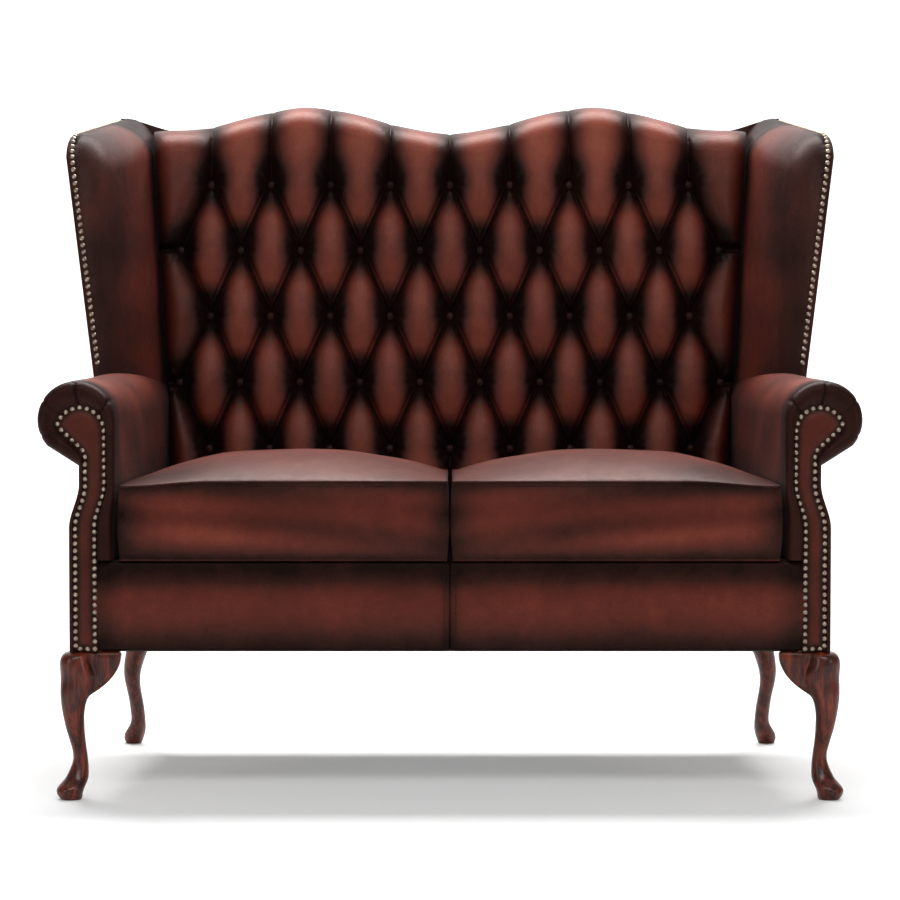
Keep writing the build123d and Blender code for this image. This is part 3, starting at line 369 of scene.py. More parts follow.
BEECH = ((0.36, 0.22, 0.12), (0.55, 0.38, 0.23))
BRASS = ((0.13, 0.10, 0.075), (0.44, 0.37, 0.29))
STEEL = ((0.3, 0.3, 0.31), (0.5, 0.5, 0.51))
PLASTIC = ((0.55, 0.54, 0.5), (0.7, 0.69, 0.65))
JUTE = ((0.35, 0.28, 0.17), (0.6, 0.52, 0.36))
BLACK_CLOTH = ((0.006, 0.006, 0.006), (0.02, 0.02, 0.02))
FOAM = ((0.6, 0.52, 0.32), (0.75, 0.68, 0.48))
FINISHES = {
    "polished_wood": mahogany("polished_mahogany"),
    "frame_wood": speckled("raw_beech", *BEECH, 60, (0.5, 0.7), stretch=(0.2, 1, 1)),
    "brass_nail": speckled("aged_brass", *BRASS, 260, (0.3, 0.5), metallic=1.0),
    "steel": speckled("spring_steel", *STEEL, 200, (0.3, 0.45), metallic=1.0),
    "clip_plastic": speckled("clip_plastic", *PLASTIC, 300, (0.4, 0.5)),
    "webbing": speckled("jute_webbing", *JUTE, 500, (0.8, 0.95), bump=0.4),
    "lining": speckled("black_lining", *BLACK_CLOTH, 900, (0.8, 0.95), bump=0.4),
    "foam": speckled("cushion_foam", *FOAM, 700, (0.85, 0.95), bump=0.4),
    "leather": leather,
}


def studio_white(name):
    """A pale sweep of paper that glows a little more towards the back, so no horizon shows."""
    finish, tree, shader = new_finish(name)
    where = object_place(tree)
    stops = [(0.3, (0.86, 0.86, 0.86)), (0.7, (0.88, 0.88, 0.88))]
    depth = add_node(tree, "ShaderNodeSeparateXYZ", Vector=where).outputs["Y"]
    reach = add_node(tree, "ShaderNodeMapRange", Value=depth, From_Min=0.3, From_Max=5.2)
    set_inputs(tree, reach, To_Min=0.08, To_Max=0.95)
    set_inputs(
        tree,
        shader,
        Base_Color=colour_ramp(tree, noise(tree, where, 1.5), stops),
        Roughness=0.8,
        Emission_Color=(1, 1, 1, 1),
        Emission_Strength=reach.outputs["Result"],
    )
    return finish


floor.data.materials.append(studio_white("pale_paper"))

slot_of = {entry["node"]: entry["material_slot"] for entry in frame["record"]["subparts"]}
for name, node in nodes.items():
    node.data.materials.clear()
    node.data.materials.append(FINISHES[slot_of[name]])
print("finishes:", sorted(FINISHES))

# %% [markdown]
# ## Turning a flat grid into a cover
#
# Upholstery starts as a flat piece of leather that is pulled over a form. The pieces below do
# the same: a grid is added, every point of it is moved to its place on the form, its edges are
# sewn together and the hole that stays is filled. Where the photo shows swelling and folds,
# the moves are sculpted by small functions of the place on the cover.


# %% Grid helpers
def pick(piece):
    """Makes a piece the only one that is selected."""
    bpy.ops.object.select_all(action="DESELECT")
    piece.select_set(True)
    bpy.context.view_layer.objects.active = piece


def in_edit_mode(*steps):
    """Runs mesh steps on all of the picked piece, each a tool with its settings."""
    bpy.ops.object.mode_set(mode="EDIT")
    for tool, settings in steps:
        bpy.ops.mesh.select_all(action="SELECT")
        tool(**settings)
    bpy.ops.object.mode_set(mode="OBJECT")


def name_piece(piece, name):
    piece.name = name
    piece.data.name = name


def use_modifier(piece, kind, **settings):
    """Adds a modifier to the picked piece, sets it and applies it."""
    bpy.ops.object.modifier_add(type=kind)
    modifier = piece.modifiers[-1]
    for key, value in settings.items():
        setattr(modifier, key, value)
    bpy.ops.object.modifier_apply(modifier=modifier.name)


OUTWARDS = (bpy.ops.mesh.normals_make_consistent, {"inside": False})


def points_of(piece):
    flat = np.empty(len(piece.data.vertices) * 3)
    piece.data.vertices.foreach_get("co", flat)
    return flat.reshape(-1, 3)


def set_points(piece, places):
    piece.data.vertices.foreach_set("co", np.ascontiguousarray(places, dtype=np.float32).ravel())
    piece.data.update()


# Stores each point's wear, with any painted shade already taken off it.
def set_wear_and_shade(piece, wear):
    attribute = piece.data.attributes.get("wear") or piece.data.attributes.new("wear", "FLOAT", "POINT")
    attribute.data.foreach_set("value", np.clip(wear, 0, 1).astype(np.float32))


def cover(name, columns, rows, place):
    """A grid of columns by rows, each point moved by place(u, v), which also gives its wear and painted
    shade.
    """
    bpy.ops.object.select_all(action="DESELECT")
    bpy.ops.mesh.primitive_grid_add(x_subdivisions=columns, y_subdivisions=rows, size=2)
    piece = bpy.context.object
    name_piece(piece, name)
    flat = points_of(piece)
    places, wear = place((flat[:, 0] + 1) / 2, (flat[:, 1] + 1) / 2)
    set_points(piece, places)
    set_wear_and_shade(piece, wear)
    return piece


def sew(piece, reach=2e-5):
    """Join edges that meet, fill what is left open, and turn all faces outwards."""
    pick(piece)
    joined = (bpy.ops.mesh.remove_doubles, {"threshold": reach})
    filled = (bpy.ops.mesh.fill_holes, {"sides": 0})
    in_edit_mode(joined, filled, OUTWARDS)
    bpy.ops.object.shade_smooth()


def thicken(piece, thickness):
    """Turn a single skin into a panel of the given thickness, with crisp edges."""
    pick(piece)
    use_modifier(piece, "SOLIDIFY", thickness=thickness, offset=-1)
    in_edit_mode((bpy.ops.mesh.remove_doubles, {"threshold": 1e-5}), OUTWARDS)
    bpy.ops.object.shade_smooth_by_angle(angle=radians(60))


def cut_cube(name, cuts):
    """A cube from -1 to 1 each way, cut evenly."""
    bpy.ops.object.select_all(action="DESELECT")
    bpy.ops.mesh.primitive_cube_add(size=2)
    piece = bpy.context.object
    name_piece(piece, name)
    in_edit_mode((bpy.ops.mesh.subdivide, {"number_cuts": cuts}))
    return piece


def assign(piece, body, slot, stands_for=()):
    """Give a piece its finish and its body, and hide the CAD nodes that it stands for."""
    piece.data.materials.clear()
    piece.data.materials.append(FINISHES[slot])
    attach(piece, body)
    if stands_for:
        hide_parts(*stands_for)


def dress(piece, body, stands_for):
    """Give a stuffed leather piece the leather finish and its body, hide the CAD nodes that it stands
    for, and print its number of points.
    """
    assign(piece, body, "leather", stands_for)
    print(piece.name, len(piece.data.vertices), "points")


def mirrored(piece, name):
    """A copy of a right-hand piece for the left, with its own mesh."""
    pick(piece)
    bpy.ops.object.duplicate()
    twin = bpy.context.object
    name_piece(twin, name)
    places = points_of(twin)
    places[:, 0] *= -1
    set_points(twin, places)
    in_edit_mode(OUTWARDS)
    return twin


def dress_pair(right, words):
    """Mirror a right-hand piece of the frame, and dress both for the CAD nodes in words."""
    left = mirrored(right, right.name.replace("right", "left"))
    for side, piece in (("right", right), ("left", left)):
        dress(piece, "frame", [f"{word}_{side}" for word in words])


def ripple(x, y, z, size, seed):
    """Slow waves in a cover, between -1 and 1, the same on every run."""
    rng = np.random.default_rng(seed)
    total = np.zeros_like(x)
    for _ in range(7):
        way = rng.normal(size=3)
        way /= np.linalg.norm(way)
        pace = 2 * pi / (size * rng.uniform(0.6, 1.7))
        total += np.sin((x * way[0] + y * way[1] + z * way[2]) * pace + rng.uniform(0, 2 * pi))
    return total / 3.5


# %% [markdown]
# ## The deep-buttoned back
#
# Deep buttoning pulls the cover down to the frame at a lattice of buttons. Between four
# buttons stands a stuffed diamond, and the spare leather is folded under along the diagonals.
# In skewed coordinates the buttons lie on whole numbers and each diamond is a unit square, so
# its swell is the product of two humps. Above the top row and below the last row the folds
# run straight on as upright flutes, and at the wings they run out sideways.

# %% Swell of the back
BUTTON_PITCH, ROW_STEP = 103 * MM, 113 * MM
TOP_ROW, LAST_ROW = HEIGHT - 136 * MM, 4
TUFT = 31 * MM
FOLD_SPACING = 1 / sqrt(1 / BUTTON_PITCH**2 + 1 / (2 * ROW_STEP) ** 2)


def hump(apart):
    """Swell across a diamond, from nothing at a fold to one half way between two folds."""
    return (1 - (1 - 2 * np.clip(apart, 0, 0.5)) ** 2) ** 0.33


def fold_edge(past):
    """The edge of the leather that is folded under, a thin second line above each fold."""
    return np.exp(-(((past * FOLD_SPACING - 6.5 * MM) / (1.7 * MM)) ** 2))


def rub_band(p):
    """Wear across a pad: an upright band in its middle."""
    return np.exp(-((np.abs(p) / 0.29) ** 3))


def buttoning(x, z):
    """How far the cover of the back stands out at a place, and its wear with a painted shadow above each
    button.
    """
    p, q = np.abs(x) / BUTTON_PITCH, (TOP_ROW - z) / ROW_STEP
    s, t = p + q / 2, p - q / 2
    off_s, off_t = s - np.round(s), t - np.round(t)
    near_s, near_t, near_p = np.abs(off_s), np.abs(off_t), np.abs(p - np.round(p))
    diamond = hump(near_s) * hump(near_t)
    upright = (q < 0) | (q > LAST_ROW)
    past_row = np.where(q < 0, -q, q - LAST_ROW)
    flute = hump(near_p) ** (2 - 0.9 * ease(past_row / 0.6))
    swell = np.where(upright, flute, diamond)
    fold = np.where(upright, 0, np.maximum(fold_edge(-off_s), fold_edge(off_t)))
    # The place inside a diamond, across and down, gives the worn band. It fades at both tips, and at the
    # lower tip the fade is painted shade over the hollow.
    in_s, in_t = s - np.floor(s) - 0.5, t - np.floor(t) - 0.5
    down = np.where(upright, 0, in_s - in_t)
    across = np.where(upright, p - np.floor(p) - 0.5, (in_s + in_t) / 2)
    rubbed_and_shaded = rub_band(across) * ease((down + 1.0) / 0.6) * ease((0.9 - down) / 0.45)
    wider = 1 - 0.2 * ease(past_row / 0.5)
    rubbed_and_shaded = np.where(upright, rub_band(across * wider), rubbed_and_shaded)
    # Beside the outermost buttons the pads run out to the wings.
    to_wing = back_half(z) - np.abs(x)
    rim = hump(np.clip(to_wing / (34 * MM), 0, 1) * 0.5) ** 1.5
    zig = np.where(q < 1, t - 4, np.where(q < 2, s - 5, np.where(q < 3, t - 3, s - 6)))
    zig = np.where(upright, p - 4, zig)
    outside = zig > 0
    other = np.where((q > 1) & (q < 3), np.where(q < 2, t - 3, s - 5), zig)
    sideways = np.minimum(np.abs(q - 1), np.abs(q - 3)) * ROW_STEP
    pleat = 1 - 0.8 * np.exp(-((sideways / (6 * MM)) ** 2))
    side = hump(zig) * hump(other) * rim * pleat
    swell = np.where(outside, side, swell)
    fold = np.where(outside, 0, fold)
    rubbed_and_shaded = np.where(outside, 0.75 * side**2, rubbed_and_shaded)
    # Every button draws the cover in and leaves small puckers round it.
    row = np.clip(np.round(q), 0, LAST_ROW)
    odd = row % 2
    column = np.where(odd == 1, np.clip(np.round(p - 0.5), 0, 4) + 0.5, np.clip(np.round(p), 0, 4))
    from_x, from_z = (p - column) * BUTTON_PITCH, (row - q) * ROW_STEP
    away = np.hypot(from_x, from_z)
    turn = np.arctan2(from_z, from_x)
    hollow = np.exp(-((away / (15 * MM)) ** 2))
    pucker = np.sin(9 * turn) * np.exp(-(((away - 20 * MM) / (9 * MM)) ** 2))
    fold = fold * ease((away - 10 * MM) / (18 * MM))
    out = TUFT * swell - 2.0 * MM * fold - 7 * MM * hollow + 0.8 * MM * pucker
    # Painted shadow: a dark spot just above each button, under the lower tip of the diamond above.
    shade = np.exp(-((np.hypot(from_x, (from_z - 7 * MM) * 0.85) / (25 * MM)) ** 2))
    strength = 0.62 + 0.22 * ease(past_row / 0.7)
    return out, 0.12 + strength * rubbed_and_shaded * np.clip(swell * 1.2, 0, 1) - 0.75 * shade


print("fold spacing:", round(FOLD_SPACING * 1000, 1), "mm")

# %% [markdown]
# The cover runs up the front, over the top edge, down behind the top rail and back to the
# start below the cushions, as one long loop. The sides are then filled in.

# %% Buttoned back
FRONT_ROWS, CREST_ROWS, TOP_ROWS, HIDDEN_ROWS = 400, 50, 12, 14
ALL_ROWS = FRONT_ROWS + CREST_ROWS + TOP_ROWS + HIDDEN_ROWS
PAD_BASE = 361.3 * MM
CREST_RISE, CREST_DEPTH = 44 * MM, 52 * MM
PAD_REAR = 5 * MM


def place_back(u, v):
    row = v * ALL_ROWS
    side = 2 * u - 1
    up = np.clip(row / FRONT_ROWS, 0, 1)
    over = np.clip((row - FRONT_ROWS) / CREST_ROWS, 0, 1)
    along = np.clip((row - FRONT_ROWS - CREST_ROWS) / TOP_ROWS, 0, 1)
    down = np.clip((row - FRONT_ROWS - CREST_ROWS - TOP_ROWS) / HIDDEN_ROWS, 0, 1)
    x = side * back_half(0.8)
    for _ in range(3):
        crest = top_z(x) - 3 * MM
        z = PAD_BASE + (crest - CREST_RISE - PAD_BASE) * up + CREST_RISE * np.sin(over * pi / 2)
        x = side * back_half(z)
    out, rubbed_and_shaded = buttoning(x, z - CREST_RISE * 0.35 * over)
    fade = 1 - 0.9 * ease(over * 1.15)
    fade = np.where(row < FRONT_ROWS * 0.04, ease(row / (FRONT_ROWS * 0.04)) * 0.9 + 0.1, fade)
    forward = PAD_IN - CREST_DEPTH * (1 - np.cos(over * pi / 2))
    forward = forward - (forward - PAD_REAR) * along
    z = z - 6 * MM * along**3
    tilt = over * pi / 2
    lean_y, lean_z = -np.cos(tilt) * cos(LEAN), np.sin(tilt) + np.cos(tilt) * sin(LEAN)
    lean = np.stack([0 * u, lean_y, lean_z], axis=1)
    places = np.stack([x, back_y(z, forward), z], axis=1) + lean * (out * fade * (1 - along))[:, None]
    # The hidden rows: down behind the rail, forward to the straps, down, and forward again.
    hidden_z = np.interp(down, [0, 0.25, 0.5, 0.9, 1.0], [0, 0, 0, 1, 1])
    rail = crest - 26 * MM
    behind = down > 0
    z_hidden = rail + (PAD_BASE - rail) * hidden_z
    depth_hidden = np.interp(down, [0, 0.25, 0.5, 0.9, 1.0], [0, 0, 1, 1, 2])
    forward_hidden = np.where(
        depth_hidden <= 1,
        PAD_REAR + (STRAP_IN - PAD_REAR) * depth_hidden,
        STRAP_IN + (PAD_IN - STRAP_IN) * (depth_hidden - 1),
    )
    x_hidden = side * back_half(z_hidden)
    hidden = np.stack([x_hidden, back_y(z_hidden, forward_hidden), z_hidden], axis=1)
    places = np.where(behind[:, None], hidden, places)
    ends = (row == 0) | (row == ALL_ROWS)
    level = PAD_BASE + 0 * u
    flat = np.stack([side * back_half(PAD_BASE), back_y(level, PAD_IN), level], axis=1)
    places = np.where(ends[:, None], flat, places)
    return places, np.where(behind, 0.1, rubbed_and_shaded * (1 - 0.35 * ease(over)))


back = cover("buttoned_back", 600, ALL_ROWS, place_back)
sew(back)
dress(back, "frame", ["back_pad"])

# %% [markdown]
# ## Covered buttons
#
# Each button is a metal shell covered with the same leather. One is modelled from a sphere
# that is pressed flat, then copied to all the places of the lattice.


# %% Buttons
BUTTON_RADIUS, BUTTON_HEIGHT = 8.6 * MM, 4.4 * MM


def button_places():
    places = []
    for row in range(LAST_ROW + 1):
        z = TOP_ROW - row * ROW_STEP
        count = 9 + row % 2
        for column in range(count):
            x = (column - (count - 1) / 2) * BUTTON_PITCH
            places.append((x, z))
    return places


def make_buttons():
    bpy.ops.object.select_all(action="DESELECT")
    bpy.ops.mesh.primitive_uv_sphere_add(segments=20, ring_count=12, radius=BUTTON_RADIUS)
    first = bpy.context.object
    shape = points_of(first)
    share = np.abs(shape[:, 2]) / BUTTON_RADIUS
    shape[:, 2] = np.sign(shape[:, 2]) * share**0.8 * BUTTON_HEIGHT
    up = np.array([0, sin(LEAN), cos(LEAN)])
    across = np.array([1.0, 0, 0])
    turned = shape[:, :1] * across + shape[:, 1:2] * up + shape[:, 2:] * FORWARD
    set_points(first, turned)
    copies = [first]
    for _ in button_places()[1:]:
        pick(first)
        bpy.ops.object.duplicate()
        copies.append(bpy.context.object)
    for piece, (x, z) in zip(copies, button_places()):
        seat = np.array([x, back_y(z, PAD_IN), z]) + FORWARD * 1.0 * MM
        set_points(piece, turned + seat)
    bpy.ops.object.select_all(action="DESELECT")
    for piece in copies:
        piece.select_set(True)
    bpy.context.view_layer.objects.active = first
    bpy.ops.object.join()
    name_piece(first, "covered_buttons")
    bpy.ops.object.shade_smooth()
    set_wear_and_shade(first, np.full(len(first.data.vertices), 0.08))
    return first


assign(make_buttons(), "frame", "leather", ["back_buttons"])
print("buttons:", len(button_places()))

# %% [markdown]
# ## The rolled arms
#
# An arm is one cover from the seat, up the inside, round the roll and in under it. The loop
# below follows that section, and is drawn from the front rim to the back. At the front the
# cover turns in round a soft rim, and small pleats take up the fullness there.


# %% Outline of an arm front
FACE_IN, FACE_OUT, SCROLL = ARM_INNER + 11 * MM, FRAME_X + 28 * MM, 43 * MM
SCROLL_X, SCROLL_Z = FACE_IN + SCROLL, ROLL_Z - 18 * MM
NECK_TOP = ROLL_Z - ROLL_RADIUS + 4 * MM


def resample(line, count):
    """The given number of points, evenly along a line."""
    line = np.array(line)
    length = np.r_[0, np.cumsum(np.hypot(*np.diff(line, axis=0).T))]
    places = np.linspace(0, length[-1], count)
    return np.stack([np.interp(places, length, column) for column in line.T], axis=1)


def kicked(x, z):
    """A line across that steps out below the seat, as the arm does."""
    return x + KICK * (1 - ease((z - KICK_LOW) / (KICK_HIGH - KICK_LOW)))


def bend_at(before, corner, after):
    """A soft corner between two points."""
    shares = np.linspace(0, 1, 9)
    return [(1 - s) ** 2 * before + 2 * s * (1 - s) * corner + s * s * after for s in shares]


def arc_points(centre, radius, start, end, count):
    """Points along an arc, as (across, up)."""
    turns = np.linspace(start, end, count)
    return [np.array([centre[0] + radius * cos(a), centre[1] + radius * sin(a)]) for a in turns]


def facing_chains(low_rows, high_rows):
    """Both edges of the arm front from its foot to the crown of the scroll, point for point."""
    split = 528 * MM
    low_z = np.linspace(LEG_HEIGHT, split, low_rows)
    inner_low = np.stack([kicked(FACE_IN, low_z), low_z], axis=1)
    outer_low = np.stack([kicked(FACE_OUT, low_z), low_z], axis=1)
    arc = arc_points((SCROLL_X, SCROLL_Z), SCROLL, pi, radians(8), 90)
    crown = 46
    neck = np.array([FACE_OUT, NECK_TOP])
    slope = (arc[-1] - neck) / np.linalg.norm(arc[-1] - neck)
    outer = [np.array([FACE_OUT, split])] + bend_at(neck - (0, 9 * MM), neck, neck + slope * 9 * MM)
    outer += bend_at(arc[-1] - slope * 10 * MM, arc[-1] + (arc[-1] - arc[-2]) * 2, arc[-8])
    outer += arc[-9:crown:-1] + [arc[crown]]
    inner = [np.array([FACE_IN, split])] + arc[: crown + 1]
    inner_all = np.vstack([inner_low, resample(inner, high_rows + 1)[1:]])
    outer_all = np.vstack([outer_low, resample(outer, high_rows + 1)[1:]])
    return inner_all, outer_all


FACE_LOW, FACE_HIGH = 90, 70
face_inner, face_outer = facing_chains(FACE_LOW, FACE_HIGH)
face_edge = np.vstack([face_inner, face_outer[::-1]])
print("arm front outline:", len(face_edge), "points")


# %% Section of an arm
def arm_section(count):
    """Points round the arm's section, as (across, up): up the inside, round the roll and down."""
    low = PLATFORM_TOP + 0.3 * MM
    line = [(ARM_INNER + kicked(0, z) * 0.3, z) for z in np.linspace(low, KICK_HIGH, 60)]
    line += arc_points((ROLL_X, ROLL_Z), ROLL_RADIUS, pi, radians(-42), 180)
    line += [(NECK_OUT - 4 * MM, ROLL_Z - 74 * MM), (FRAME_X, ROLL_Z - 76 * MM), (FRAME_X, low), line[0]]
    return resample(line, count + 1)


def inside_face(x, z):
    """Whether a place lies inside the outline of the arm front."""
    crossings = np.zeros(x.shape, dtype=int)
    for (x0, z0), (x1, z1) in zip(face_edge, np.roll(face_edge, -1, axis=0)):
        if z0 == z1:
            continue
        spans = (z0 > z) != (z1 > z)
        crossings += spans & (x < x0 + (z - z0) / (z1 - z0) * (x1 - x0))
    return crossings % 2 == 1


def rim_targets(section):
    """For each point of the section, the place just inside the arm front that it turns in to."""
    across, up = section.T
    level = np.stack([kicked(FACE_IN + 20 * MM, up), up], axis=1)
    eye = np.array([SCROLL_X - 6 * MM, SCROLL_Z])
    blend = ease((up - SCROLL_Z + 90 * MM) / (90 * MM))[:, None]
    anchor = np.where((up > ROLL_Z - 80 * MM)[:, None], eye, level)
    anchor = np.where((across < FRAME_X - MM)[:, None], level + (eye - level) * blend, anchor)
    steps = np.linspace(0, 1, 160)
    ray = section[:, None] + (anchor - section)[:, None] * steps[None, :, None]
    inside = inside_face(ray[..., 0], ray[..., 1])
    first = np.argmax(inside, axis=1)
    deeper = np.minimum(first + 9, len(steps) - 1)
    return ray[np.arange(len(section)), deeper]


ARM_POINTS, RIM_ROWS, ARM_ROWS = 320, 26, 150
section = arm_section(ARM_POINTS)
step = np.roll(section[:-1], -1, axis=0) - np.roll(section[:-1], 1, axis=0)
outward = np.stack([-step[:, 1], step[:, 0]], axis=1)
outward /= np.linalg.norm(outward, axis=1)[:, None]
outward = np.vstack([outward, outward[:1]])
target = rim_targets(section)
rim_wide = np.linalg.norm(target - section, axis=1)
print("arm section:", len(section), "points, rim up to", round(rim_wide.max() * 1000), "mm wide")


# %% Rolled arms
ROLL_PLEATS = ((87, 3.0), (150, 2.6), (30, 1.4), (-24, 1.2))


def place_arm(u, v):
    index = np.round(u * ARM_POINTS).astype(int)
    row = np.round(v * (ARM_ROWS + RIM_ROWS))
    edge, inner, wide = section[index], target[index], rim_wide[index]
    soft = np.minimum(15 * MM, 0.8 * wide)
    proud = FACE_Y - 6 * MM * ease(wide / (10 * MM)) + 1.5 * MM * (1 - ease(wide / (10 * MM)))
    inward = (inner - edge) / np.maximum(wide, 1e-6)[:, None]
    # Row 0 is tucked behind the arm front, then the rim runs out, turns and goes to the back.
    out = np.clip((row - 2) / 12, 0, 1)
    turn = np.clip((row - 14) / 12, 0, 1) * pi / 2
    along = np.clip((row - RIM_ROWS) / ARM_ROWS, 0, 1)
    flat_end = edge + inward * soft[:, None]
    flat = inner + (flat_end - inner) * out[:, None]
    y_flat = FACE_Y + 3 * MM + (proud - FACE_Y - 3 * MM) * np.sqrt(ease(out * 1.2))
    rounded = edge + inward * (soft * (1 - np.sin(turn)))[:, None]
    y_round = proud + soft * (1 - np.cos(turn))
    rim = row <= 14
    x, z = np.where(rim[:, None], flat, rounded).T
    rear = back_y(z, PANEL + 0.5 * MM)
    y = np.where(rim, y_flat, y_round)
    y = np.where(row < 2, FACE_Y + 9 * MM - 3 * MM * row, y)
    y = y + (rear - y) * along
    angle = np.degrees(np.arctan2(edge[:, 1] - ROLL_Z, edge[:, 0] - ROLL_X))
    on_roll = (edge[:, 1] > ROLL_Z - 70 * MM) & (edge[:, 0] > ARM_INNER - MM)
    near_front = np.exp(-(np.maximum(y - FACE_Y - 8 * MM, 0) / (20 * MM)) ** 2)
    pleats = sum(deep * MM * np.exp(-(((angle - place) / 3.0) ** 2)) for place, deep in ROLL_PLEATS)
    pleats = np.where(on_roll, pleats * near_front, 0)
    body = np.clip(turn / (pi / 2), 0, 1)
    waves = 1.0 * MM * ripple(x, y * 0.6, z, 0.16, 11)
    lift = np.where(on_roll, waves, 0.5 * waves) * body * ease((row - 14) / 20) - pleats * body
    y = y + np.where(row < RIM_ROWS, pleats * (1 - body) * (row > 2), 0)
    out_x, out_z = outward[index].T
    places = np.stack([x + out_x * lift - drawn_in(y), y, z + out_z * lift], axis=1)
    crest = np.clip((z - ROLL_Z) / ROLL_RADIUS, 0, 1)
    rubbed_and_shaded = 0.42 + 0.26 * crest + 0.1 * ripple(x, y, z, 0.1, 12)
    # Painted shade: below the roll, the inside face is darkened next to the cushion.
    rubbed_and_shaded = rubbed_and_shaded * np.where(on_roll, 1, 0.25 + 0.75 * ease((z - 0.44) / 0.12))
    rubbed_and_shaded = np.where(row < RIM_ROWS, 0.16 + 0.06 * body, rubbed_and_shaded * ease((y - FACE_Y) / (75 * MM)) + 0.1)
    rubbed_and_shaded = rubbed_and_shaded - 60 * pleats
    # The arm is darker towards the back.
    rubbed_and_shaded = rubbed_and_shaded * (1 - 0.7 * ease((y - 0.04) / 0.16))
    return places, rubbed_and_shaded


arm_right = cover("rolled_arm_right", ARM_POINTS, ARM_ROWS + RIM_ROWS, place_arm)
sew(arm_right)
dress_pair(arm_right, ["arm_pad"])

# %% [markdown]
# ## The scroll-shaped arm fronts
#
# The front of each arm is a stiffened panel in the shape of a scroll with a long tail, padded
# a little and held by a row of nails. A grid is laid between its two edges, and every point is
# raised by its distance from the nearest edge, so the panel is flat under the nails and swells
# inside them. A Solidify modifier gives it its thickness.


# %% Arm fronts
def place_facing(u, v):
    row = np.round(v * (len(face_inner) - 1)).astype(int)
    across = 0.5 - 0.5 * np.cos(u * pi)
    x, z = (face_inner[row] + (face_outer[row] - face_inner[row]) * across[:, None]).T
    foot = np.linspace(face_inner[0, 0], face_outer[0, 0], 30)
    edge = np.vstack([face_edge, np.stack([foot, np.full_like(foot, LEG_HEIGHT)], axis=1)])
    away = np.min(np.hypot(x[:, None] - edge[None, :, 0], z[:, None] - edge[None, :, 1]), axis=1)
    short = np.clip(1 - away / (4 * MM), 0, 1)
    turned = 3.5 * MM * (1 - np.sqrt(1 - short**2))
    dome = 4.0 * MM * ease((away - 6 * MM) / (15 * MM))
    y = FACE_Y + turned - dome
    rubbed_and_shaded = 0.08 + 0.4 * ease((away - 5 * MM) / (13 * MM)) + 0.08 * ripple(x, y, z, 0.09, 5)
    return np.stack([x - drawn_in(FACE_Y), y, z], axis=1), rubbed_and_shaded


facing_right = cover("arm_front_right", 26, len(face_inner) - 1, place_facing)
thicken(facing_right, 8 * MM)
dress_pair(facing_right, ["arm_facing"])

# %% [markdown]
# ## The wings
#
# A wing is a thin board with padding on its inside and a plain cover outside. Seen from above
# its cover is a loop: along the inside, round the front edge, along the outside and back. The
# loop is stacked from the arm up to the sloping top, where the two sides are drawn together
# over the edge.

# %% Wings
WING_AROUND, WING_ROWS = 240, 190
WING_BASE = ARM_TOP - 30 * MM
WING_NOSE, NOSE_Z, EAR_Z = 70 * MM, HEIGHT - 56 * MM, HEIGHT - 16 * MM
INSIDE_END, OUTSIDE_END = 0.48, 0.94


def wing_top(y):
    """Height of the wing's top edge, rounded at the nose."""
    nose_y = back_y(NOSE_Z, WING_REACH)
    slope = (EAR_Z - NOSE_Z) / (back_y(EAR_Z, 0) - nose_y)
    line = NOSE_Z + (y - nose_y) * slope
    short = np.clip(1 - (y - back_y(NOSE_Z - WING_NOSE, WING_REACH)) / WING_NOSE, 0, 1)
    return line - WING_NOSE * (1 - np.sqrt(np.clip(1 - short**2, 0, 1)))


